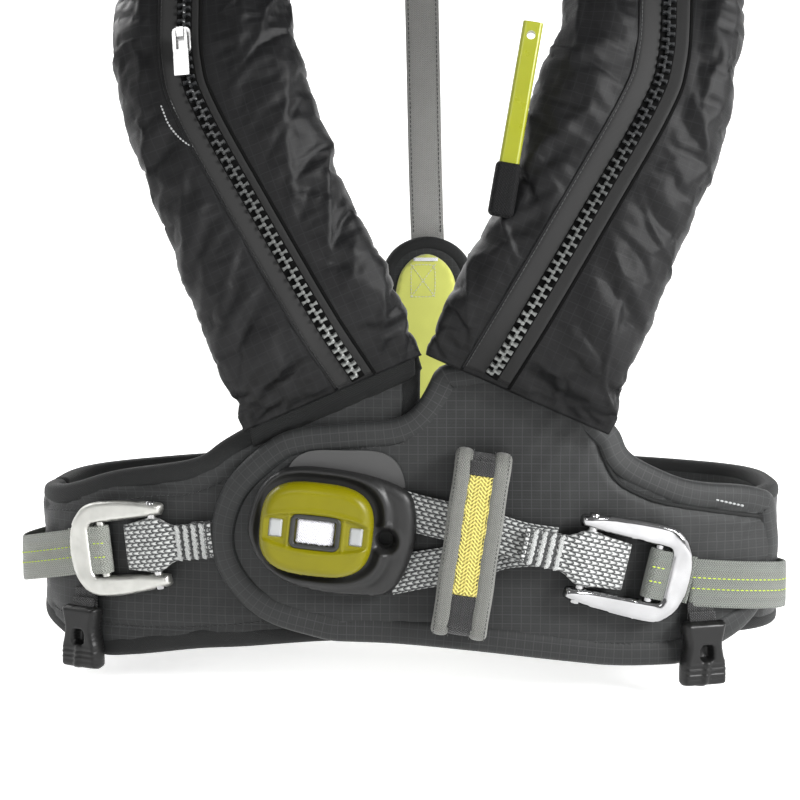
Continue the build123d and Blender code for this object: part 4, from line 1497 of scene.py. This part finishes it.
def add_back_strap():
    """Webbing from the back pad up to the collar, sewn to the pad with a crossed box."""
    line = curve_points([Vector((8, 107.6, 236)), Vector((8, 108.0, 252)), Vector((8, 107.4, 266)),
                         Vector((7.6, 102.4, 280)), Vector((7.2, 97.4, 300)),
                         Vector((6.5, 95, 326)), Vector((5, 92.5, 400)), Vector((4, 88.5, 452)),
                         Vector((4, 84.0, 470))], 12)
    band = strap("back_strap_webbing", line, lambda k: Vector((0, 1, 0.03)), 25, 2.0,
                 M["strap"], "jacket")
    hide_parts("back_strap")
    box = [Vector((x, 109.0, z)) for x, z in ((-1, 239), (17, 239), (17, 258), (-1, 258))]
    for k, run in enumerate((box + [box[0]], [box[0], box[2]], [box[1], box[3]])):
        row = stitches(f"back_strap_box_{k}", run, lambda p: Vector((0, 1, 0)), M["thread"],
                       "jacket", pitch=2.8, long=2.0, thick=0.7)
    for side in (-1, 1):
        edge = [p + Vector((side * 10.2, -1.05, 0)) for p in line[30:-6]]
        row = stitches(f"back_strap_stitch_{'left' if side < 0 else 'right'}", edge,
                       lambda p: Vector((0, -1, 0)), M["thread"], "jacket", pitch=3.4)


# ---------------------------------------------------------------- harness release

CAP_AT = Vector((-49.5, 84.5))
CAP_TURN = math.radians(-6)
EYE = Vector((-8.0, 76.5))
BASE_OUTLINE = [(-66, 121.5), (-48, 121.5), (-18, 116.5), (5.5, 107), (10.8, 94), (11, 79.5),
                (8.5, 67.5), (1.8, 51.5), (-8, 42), (-23, 40.8), (-48, 43), (-69, 48.5),
                (-84, 59.5), (-92.5, 73.5), (-94, 87), (-86.5, 107.5), (-76, 118)]


def level_place(u, v, h):
    return Vector((u, -h, v))


def cap_place(u, v, h):
    c, s = math.cos(CAP_TURN), math.sin(CAP_TURN)
    return Vector((CAP_AT.x + u * c - v * s, -h, CAP_AT.y + u * s + v * c))


def cap_uv(x, z):
    """Where a point in front of the belt lies in the cap's own directions."""
    c, s = math.cos(CAP_TURN), math.sin(CAP_TURN)
    dx, dz = x - CAP_AT.x, z - CAP_AT.y
    return dx * c + dz * s, -dx * s + dz * c


def step_up(value, width):
    """Goes smoothly from 0 to 1 as value passes from minus width to width."""
    t = min(max(value / width * 0.5 + 0.5, 0.0), 1.0)
    return t * t * (3 - 2 * t)


def rounded_loop(wide, tall, radius, step=1.0, at=(0, 0)):
    """A rounded rectangle as an evenly sampled closed loop."""
    points = []
    for cx, cy, start in ((1, 1, 0), (-1, 1, 90), (-1, -1, 180), (1, -1, 270)):
        for k in range(9):
            a = math.radians(start + k * 90 / 8)
            points.append(Vector((at[0] + cx * (wide / 2 - radius) + radius * math.cos(a),
                                  at[1] + cy * (tall / 2 - radius) + radius * math.sin(a))))
    return resample(points, step, closed=True)


def box_distance(u, v, wide, tall, radius):
    """Distance outside of a rounded rectangle, and below zero inside it."""
    du, dv = abs(u) - wide / 2 + radius, abs(v) - tall / 2 + radius
    return math.hypot(max(du, 0), max(dv, 0)) + min(max(du, dv), 0) - radius


def add_release_base():
    loop = resample(curve_points([Vector(p) for p in BASE_OUTLINE], 12, closed=True), 1.7, True)
    eye = [EYE + Vector((math.cos(a), math.sin(a))) * 5.0
           for a in (2 * math.pi * k / 40 for k in range(40))]

    def lift(x, z, depth):
        u, v = cap_uv(x, z)
        cap = (abs(u / 35) ** 3 + abs(v / 29) ** 3) ** (1 / 3)
        far = (cap - 1) * 31
        height = -2.2 * (1 - step_up(far - 3.2, 1.6))
        height += 1.5 * math.exp(-((far - 6.2) / 1.9) ** 2)
        height -= 0.7 * math.exp(-((far - 10.0) / 1.6) ** 2)
        eye_r = math.hypot(x - EYE.x, z - EYE.y)
        slot = box_distance(x + 16, z - 77.2, 20, 9.5, 4)
        if far > 1.5:
            height += 1.3 * math.exp(-((eye_r - 9.4) / 1.6) ** 2)
            height -= 2.4 * (1 - step_up(eye_r - 7.6, 1.0))
            height -= 2.4 * (1 - step_up(slot, 1.2)) * step_up(eye_r - 7.6, 1.0)
        height += noise.noise(Vector((x * 0.05, z * 0.05, 44))) * 0.25
        return height * min(1.0, depth / 3)

    base = pad("release_base_shell", loop, level_place, 121.8, 134.0, M["black"], "jacket",
               round_off=7.5, spacing=1.5, lift=lift, holes=[eye])
    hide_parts("release_base")


def channel_edges(u):
    """The upper and lower edge of the cap's channel."""
    x = u / 31
    return 10.9 - 4.6 * x * x, -13.4 + 4.8 * x * x


def add_release_cap():
    loop = resample([Vector(p) for p in oval(35, 29, 3.0, 160)], 1.1, closed=True)
    inserts = ((-24.5, -0.6), (25.0, -1.1))

    def lift(u, v, depth):
        top, low = channel_edges(u)
        gap = min(top - v, v - low)
        height = 1.1 * (1 - (u / 35) ** 2) * (1 - (v / 29) ** 2)
        height -= 1.9 * step_up(gap - 0.7, 0.9) * step_up(31.5 - abs(u), 1.6)
        height += 0.5 * math.exp(-((gap + 0.9) / 1.1) ** 2) * step_up(31 - abs(u), 3)
        cross_wall = box_distance(u, v + 1.0, 34, 50, 2)
        height += 0.8 * math.exp(-(cross_wall / 0.9) ** 2) * step_up(gap, 0.8)
        height -= 3.4 * (1 - step_up(box_distance(u, v + 1.0, 27.5, 17.5, 2.5), 0.6))
        for cu, cv in inserts:
            height -= 0.7 * (1 - step_up(box_distance(u - cu, v - cv, 9.2, 12.2, 1.0), 0.5))
        return height * min(1.0, depth / 3)

    cap = pad("release_cap_shell", loop, cap_place, 134.6, 149.6, M["lime"], "release_knob",
              round_off=7.0, spacing=0.9, lift=lift)
    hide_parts("release_cap")

    rim_line = rounded_loop(28.2, 18.4, 3.0, 0.8, (0, -1.0))
    rim_path = []
    for p in rim_line:
        rim_path.append(cap_place(p.x, p.y, 148.6))
    rim = tube("release_window_rim", rim_path, oval(1.3, 1.5, 3, 14),
               lambda k: Vector((0, -1, 0)), M["rim"], "release_knob", closed=True)

    edge = []
    half_w, half_t = 11.6, 7.4
    for k in range(26):
        u = -half_w + 2 * half_w * k / 25
        edge.append(Vector((u, -1.0 - half_t - 0.55 * abs(math.sin(k * 0.9)))))
    for k in range(12):
        rise = 2 * half_t * (k + 0.5) / 12
        edge.append(Vector((half_w + 0.15 * math.sin(k), -1.0 - half_t + rise)))
    for k in range(26):
        u = half_w - 2 * half_w * k / 25
        edge.append(Vector((u, -1.0 + half_t + 0.55 * abs(math.sin(k * 1.1)))))
    for k in range(12):
        edge.append(Vector((-half_w, -1.0 + half_t - 2 * half_t * (k + 0.5) / 12)))

    def weave_lift(u, v, depth):
        ribs = 0.16 * math.sin(u * 4.2) + 0.1 * math.sin(v * 5.1 + u * 1.3)
        return ribs + 0.5 * noise.noise(Vector((u * 0.18, v * 0.18, 3))) + 0.6 * (1 - (u / 12) ** 2)

    tab = pad("release_tape_weave", edge, cap_place, 145.4, 147.3, M["white_tape"], "release_knob",
              round_off=1.6, spacing=0.8, lift=weave_lift)
    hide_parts("release_tape")

    first = None
    for k, (cu, cv) in enumerate(inserts):
        plate_loop = rounded_loop(8.4, 11.4, 1.0, 0.8, (cu, cv))
        plate = pad(f"release_reflector_{k}", plate_loop, cap_place, 146.4, 148.6, M["insert"],
                    "release_knob", round_off=0.7, spacing=1.0)
        if first is None:
            first = plate
            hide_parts("cap_reflectors")


# ---------------------------------------------------------------- harness webbing and hooks

def hook_frame(side):
    """The place of a hook's pin, and its across, along-pin and outward directions."""
    x, z = (-158.0, 67.5) if side < 0 else (116.0, 66.0)
    off = 11.6 if side < 0 else 30.2
    yaw = math.radians(12.0 if side < 0 else -7.0)
    roll = math.radians(7.0 if side < 0 else -13.0)
    y = -(BELT_B + off) * (1 - (abs(x) / (BELT_A + off)) ** BELT_POWER) ** (1 / BELT_POWER)
    level = Vector((math.cos(yaw), -math.sin(yaw), 0))
    out = Vector((-math.sin(yaw), -math.cos(yaw), 0))
    across = level * math.cos(roll) + Vector((0, 0, 1)) * math.sin(roll)
    up = out.cross(across)
    return Vector((x, y, z)), across, up, out


def hook_place(side):
    origin, across, up, out = hook_frame(side)

    def place(u, v, h):
        return origin + across * u + up * v + out * h
    return place


def web_run(name, line, width, thick, mat, per=10, wave=0.25):
    """Webbing along points of (x, z, height over the belt's ring)."""
    pts = curve_points([Vector((run_of(x), z, h)) for x, z, h in line], per)
    pts = resample(pts, 1.6)
    points, outs = [], []
    for k, p in enumerate(pts):
        ripple = wave * math.sin(k * 0.45 + width)
        points.append(front_place(p.x, p.y, p.z + ripple))
        outs.append(facing(front_place, p.x, p.y))
    web = strap(name, points, lambda k: outs[k], width, thick, mat, "jacket", power=4)
    return web, points, outs


def add_harness():
    upper, _, _ = web_run("right_harness_upper", [(-2, 96, 24), (14, 91.5, 25.4), (45, 84, 26.6),
                                                  (70, 76, 27.0), (90, 72.5, 27.0)],
                          24, 3.0, M["silver"])
    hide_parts("right_harness_webbing")
    web_run("right_harness_lower", [(-6, 52, 20.5), (10, 56, 22.6), (40, 62, 23.0), (62, 70, 23.6),
                                    (88, 72, 23.4)], 24, 2.8, M["silver"])
    left, _, _ = web_run("left_harness_band", [(-131, 71.2, 10.6), (-112, 73, 9.2), (-88, 76, 8.2),
                                               (-60, 79, 8.0)], 23, 3.0, M["silver"])
    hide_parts("left_harness_webbing")
    for side, name in ((-1, "left"), (1, "right")):
        add_harness_end(side, name)


def add_harness_end(side, name):
    """The webbing's doubled end: narrow at its bar tacks, broad round the hook's pin."""
    place = hook_place(side)
    toward = -side
    reach = 20.0 if side < 0 else 26.0

    def widths(u):
        t = toward * u
        if t > 0:
            return 11.2 + 6.4 * (1 - step_up(t - 7.5, 7.5))
        return 15.2 + 2.4 * math.exp(-(t / 9) ** 2) - 0.8 * step_up(-t - reach + 5, 5)

    rows = 66
    ends = (-reach, 40.0)
    verts, uvs = [], []
    ring = 40
    for k in range(rows + 1):
        t = ends[0] + (ends[1] - ends[0]) * k / rows
        u = toward * t
        half = widths(u)
        into = min(t - ends[0], 4.0) / 4.0
        thick = 4.4 * math.sqrt(max(0.02, 1 - (1 - into) ** 2))
        bulge = 0.9 * math.exp(-(t / 5) ** 2)
        taper = 1 - 0.5 * step_up(t - 12, 5)
        wave = 0.35 * math.sin(t * 0.9)
        for a, b in oval(half, (thick + bulge) * taper, 4.0, ring):
            edge = 0.35 * math.sin(t * 2.4 + (0 if a > 0 else 1.5)) * (abs(a) / half) ** 6
            verts.append(place(u, a + math.copysign(edge, a), b + 0.3 + wave * 0.4) * MM)
            uvs.append((a * MM * (1 if b > 0 else -1), t * MM))
    end = build(f"{name}_harness_fold", verts, tube_faces(rows, ring), uvs, M["silver"], "jacket")
    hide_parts(f"{name}_harness_end")
    for k in range(4):
        t = 17.5 + k * 5.6
        line = [place(toward * (t + 0.5 * math.sin(j * 1.9)), v, 2.9)
                for j, v in enumerate(v_ * 1.1 for v_ in range(-10, 11))]
        bar = tube(f"{name}_bar_tack_{k}", line, oval(1.5, 1.1, 2.2, 10),
                   lambda j: place(1, 0, 0) - place(0, 0, 0), M["tack"], "jacket")
        low = tube(f"{name}_bar_gap_{k}", [place(toward * (t + 2.8), v, 2.0) for v in
                                           (-10.6, -5, 0, 5, 10.6)],
                   oval(0.9, 0.7, 2.2, 10), lambda j: place(1, 0, 0) - place(0, 0, 0),
                   M["gap"], "jacket")


def buckle_loop(side, flare):
    """The outline of a hook: two arms that open towards the centre, and a broad bowed back."""
    away = side
    end = 59.5 if side < 0 else 67.0
    outer = [(-9, 22.0), (-8.8, 25.8), (-4, 27.6), (12, 29.6), (end - 26, 31.2), (end - 13, 29.0),
             (end - 5, 21.5), (end - 1, 11), (end, 0)]
    outer = [Vector(p) for p in outer]
    top = curve_points(outer, 8)
    bottom = [Vector((p.x, -p.y)) for p in reversed(top)][1:]
    slot = end - 16
    inner = [(-9, -20.5), (-7.5, -19.2), (0, -18.6), (20, -17.8), (slot - 4, -17),
             (slot - 0.6, -15), (slot, -11), (slot, 11), (slot - 0.6, 15), (slot - 4, 17),
             (20, 17.8), (0, 18.6), (-7.5, 19.2)]
    back = curve_points([Vector(p) for p in inner], 6)[1:]
    loop = [Vector((p.x * away, p.y * flare)) for p in top + bottom + back]
    return resample(loop, 1.1, closed=True)


def add_buckle(side, name, mat):
    place = hook_place(side)
    loop = buckle_loop(side, 1.0)
    far = 59.5 if side < 0 else 67.0
    at = 36.5 if side < 0 else 43.5

    def lift(u, v, depth):
        t = side * u
        arms = 1.6 * math.exp(-((t + 4) / 9) ** 2) * min(1.0, depth / 3)
        back = 1.4 * step_up(t - far + 15, 5) * min(1.0, depth / 4)
        dish = -0.7 * math.exp(-((t - far + 7) / 4) ** 2) * math.exp(-(v / 15) ** 4)
        return arms + back + dish

    body = pad(f"{name}_buckle_casting", loop, place, -3.0, 4.2, mat, f"{name}_hook",
               round_off=2.8, spacing=1.2, lift=lift)
    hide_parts(f"{name}_buckle")
    for k, v in ((0, -24.3), (1, 24.3)):
        line = [place(-side * 1.0, v + dv, 1.5) for dv in (-4.4, -3.9, 0, 3.9, 4.4)]
        sizes = (2.6, 3.3, 3.4, 3.3, 2.6)
        verts = []
        for p, r in zip(line, sizes):
            _, across, _, out = hook_frame(side)
            for i in range(24):
                a = 2 * math.pi * i / 24
                verts.append((p + across * math.cos(a) * r + out * math.sin(a) * r) * MM)
        knob = build(f"{name}_buckle_boss_{k}", verts, tube_faces(4, 24), None, M["polished"],
                     f"{name}_hook")
    bar_line = [place(side * at, v, 0) for v in range(-20, 21, 2)]
    _, across, _, _ = hook_frame(side)
    bar = tube(f"{name}_buckle_bar", bar_line, oval(2.8, 2.8, 2, 20), lambda k: across, mat,
               f"{name}_hook")

    # the left side takes the paler copy of the grey webbing, whose difference is painted light
    look = M["grey_web_left_painted_light"] if side < 0 else M["grey_web"]
    path = []
    for k in range(6):
        path.append((at + 17 - k * 2.6, -4.6))
    for k in range(13):
        a = math.radians(-90 - k * 15)
        path.append((at + 4.3 * math.cos(a), 4.3 * math.sin(a) * (1.05 if k > 6 else 1)))
    for k in range(1, 5):
        path.append((at + k * 2.6, 4.4 - 0.5 * k))
    points = curve_points([place(side * u, 0, h) for u, h in path], 3)
    centre = place(side * at, 0, 0)

    def fold_out(k):
        p = points[k]
        radial = p - centre
        _, _, up, _ = hook_frame(side)
        radial -= up * radial.dot(up)
        return radial.normalized()

    fold = strap(f"{name}_webbing_turn", points, fold_out, 31, 1.9, look, f"{name}_hook")
    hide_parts(f"{name}_webbing_fold")
    tail_line = curve_points([place(side * u, 0, h) for u, h in
                              ((at + 8, -4.9), (at + 14, -5.2), (at + 20, -5.2),
                               (at + 26, -5.0))], 6)
    _, _, _, out = hook_frame(side)
    tail = strap(f"{name}_webbing_tail", tail_line, lambda k: out, 30, 2.0, look, f"{name}_hook")
    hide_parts(f"{name}_buckle_tail")
    for k, v in enumerate((-4.5, 4.5)):
        line = [place(side * (at + u), v, 5.4 - max(0, u) * 0.2) for u in (-3, -1.5, 0, 2, 4, 6)]
        row = stitches(f"{name}_fold_stitch_{k}", line, lambda p: out, M["lime_thread"],
                       f"{name}_hook", pitch=2.9, long=2.0, thick=0.8, raise_by=0.05)


# ---------------------------------------------------------------- tether loop

LOOP_X, LOOP_Z = 45.5, 75.0
LOOP_LEAN = math.radians(8)


def loop_place(u, v, h):
    """u across the loop, v up along it and h forwards."""
    c, s = math.cos(LOOP_LEAN), math.sin(LOOP_LEAN)
    return Vector((LOOP_X + u * c + v * s, -h, LOOP_Z - u * s + v * c))


def loop_course(push=0.0):
    """The loop's side view as a closed run of (v, h): a long rounded rectangle."""
    return rounded_loop(116 - 8 + push * 2, 26.7 - 8 + push * 2, 7.0, 2.0, (0, 132.65))


def add_loop():
    first = None
    course = loop_course()
    for side in (-1, 1):
        edge_path = []
        for k, p in enumerate(course):
            soft = 0.5 * math.sin(k * 0.31 + side) + 0.3 * noise.noise(Vector((k * 0.2, side, 8)))
            edge_path.append(loop_place(side * 11.6 + soft * 0.4, p.x, p.y))
        edge = tube(f"loop_edge_{'left' if side < 0 else 'right'}", edge_path,
                    oval(5.7, 4.7, 2.6, 22),
                    lambda k: loop_place(1, 0, 0) - loop_place(0, 0, 0), M["loop"],
                    "tether_loop", closed=True)
        if first is None:
            first = edge
            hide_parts("loop_sleeve")
        for kind, shift in (("inner", 6.6), ("outer", 15.6)):
            line = [loop_place(side * shift, p.x, p.y) for p in loop_course(3.6)]
            row = stitches(f"loop_seam_{kind}_{'left' if side < 0 else 'right'}",
                           line + [line[0]], lambda q: loop_normal(q), M["thread"],
                           "tether_loop", pitch=2.6, long=1.8, thick=0.5)
    web_path = [loop_place(0, p.x, p.y) for p in loop_course(1.2)]
    flat = tube("loop_middle_band", web_path, oval(8.6, 1.6, 3, 20),
                lambda k: loop_place(1, 0, 0) - loop_place(0, 0, 0), M["black_web"],
                "tether_loop", closed=True)
    for name, lo, hi, mat, node, wide, proud in (
            ("loop_core_weave", -30, 44, M["core"], "loop_core", 7.8, 144.9),
            ("loop_lower_weave", -51, -30.6, M["black_web"], "loop_tab", 7.8, 144.8),
            ("loop_top_tab", 44.4, 53, M["black_web"], None, 7.6, 145.2)):
        rows = max(6, round((hi - lo) / 1.6))
        line = [loop_place(0, lo + (hi - lo) * k / rows,
                           proud + 0.2 * math.sin(k * 0.8)) for k in range(rows + 1)]
        band = strap(name, line, lambda k: Vector((0, -1, 0)), wide * 2, 2.2, mat,
                     "tether_loop", power=4)
        if node:
            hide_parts(node)


def loop_normal(q):
    """Outwards from the loop's side view at a point on it."""
    v = (q.x - LOOP_X) * math.sin(LOOP_LEAN) + (q.z - LOOP_Z) * math.cos(LOOP_LEAN)
    h = -q.y - 132.65
    if abs(v) > 49 and abs(h) < 6:
        return (loop_place(0, math.copysign(1, v), 0) - loop_place(0, 0, 0)).normalized()
    return Vector((0, -1 if h > 0 else 1, 0))


# ---------------------------------------------------------------- clips, cutter

def clip_frame(side):
    x = -209.0 if side < 0 else 190.0
    off = 13.5 if side < 0 else 27.5
    yaw = math.radians(27.0 if side < 0 else -20.0)
    y = -(BELT_B + off) * (1 - (abs(x) / (BELT_A + off)) ** BELT_POWER) ** (1 / BELT_POWER)
    level = Vector((math.cos(yaw), -math.sin(yaw), 0))
    out = Vector((-math.sin(yaw), -math.cos(yaw), 0))

    def place(u, v, h):
        return Vector((x, y, 20.0)) + level * u + Vector((0, 0, 1)) * v + out * h
    return place, level


def add_clip(side, name):
    """A flat buckle half with a waist, a release window and ribs on its shoulders."""
    place, level = clip_frame(side)
    half = [(0, -36.4), (11, -36.2), (14.6, -34.6), (15, -30), (14.6, -22), (12.9, -15),
            (12.2, -9), (13.4, -3), (14.4, 2.4), (13.6, 4.4), (8, 4.8), (0, 4.8)]
    right = curve_points([Vector(p) for p in half], 6)
    left = [Vector((-p.x, p.y)) for p in reversed(right)][1:-1]
    loop = resample(right + left, 1.2, closed=True)

    def lift(u, v, depth):
        ribs = 0.45 * math.sin(v * 1.9) * step_up(v + 31, 2) * step_up(-22 - v, 2)
        spine = 1.3 * math.exp(-((u - 1.5 - 0.14 * (v + 15)) / 2.0) ** 2) * step_up(-18 - v, 3)
        well = -7.5 * (1 - step_up(box_distance(u - 0.5, v + 15, 8.6, 9.0, 2.4), 0.9))
        return (ribs + spine) * min(1.0, depth / 3) + well

    body = pad(f"{name}_clip_shell", loop, place, -6.0, 6.4, M["clip_black"], f"{name}_clip",
               round_off=3.2, spacing=1.1, lift=lift)
    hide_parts(f"{name}_thigh_clip")
    points = []
    for k in range(17):
        a = math.radians(200 - k * 20)
        points.append(place(0, 3.4 * math.sin(a), 3.4 * math.cos(a)))
    line = [place(0, 16, -3.4), place(0, 10, -3.5)] + points[0:14] + [place(0, 10, -1.2)]
    line = resample(curve_points(line, 4), 1.2)

    def face_out(k):
        along = line[min(k + 1, len(line) - 1)] - line[max(k - 1, 0)]
        return along.cross(level)

    band = strap(f"{name}_clip_band", line, face_out, 18, 1.6, M["black_web"], "jacket")
    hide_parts(f"{name}_clip_strap")


def cutter_point(u, v, h):
    """u across the cutter, v up its length and h forwards of its middle."""
    lean, back = math.radians(9.5), math.radians(-5.0)
    axis = Vector((math.sin(lean), -math.sin(back) * math.cos(lean),
                   math.cos(back) * math.cos(lean)))
    side = Vector((math.cos(lean), 0, -math.sin(lean)))
    side = (side - axis * side.dot(axis)).normalized()
    front = side.cross(axis)
    if front.y > 0:
        front = -front
    return Vector((62.0, -156.5, 275.0)) + side * u + axis * v + front * h


def add_cutter():
    loop = rounded_loop(15.4, 33, 3.2, 1.1, (0, 16))

    def lift(u, v, depth):
        gather = 0.35 * math.sin(u * 2.6) * min(1.0, depth / 2)
        hem = 0.6 * math.exp(-((v - 29) / 1.5) ** 2) * min(1.0, depth / 1.5)
        return gather + hem

    pouch = pad("cutter_pouch_cloth", loop, lambda u, v, h: cutter_point(u, v, h), -4.9, 5.2,
                M["elastic"], "jacket", round_off=3.4, spacing=1.2, lift=lift)
    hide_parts("cutter_sleeve")


# ---------------------------------------------------------------- put together

add_studio()
add_floor()
add_camera()

add_lobes()
add_left_join(add_left_front())
add_right_front()
add_back()
add_lining()
add_back_tunnel()
add_side_webbing()
add_back_strap()
add_release_base()
add_release_cap()
add_harness()
add_buckle(-1, "left", M["cast"])
add_buckle(1, "right", M["polished"])
add_loop()
add_clip(-1, "left")
add_clip(1, "right")
add_cutter()
dress_cad()
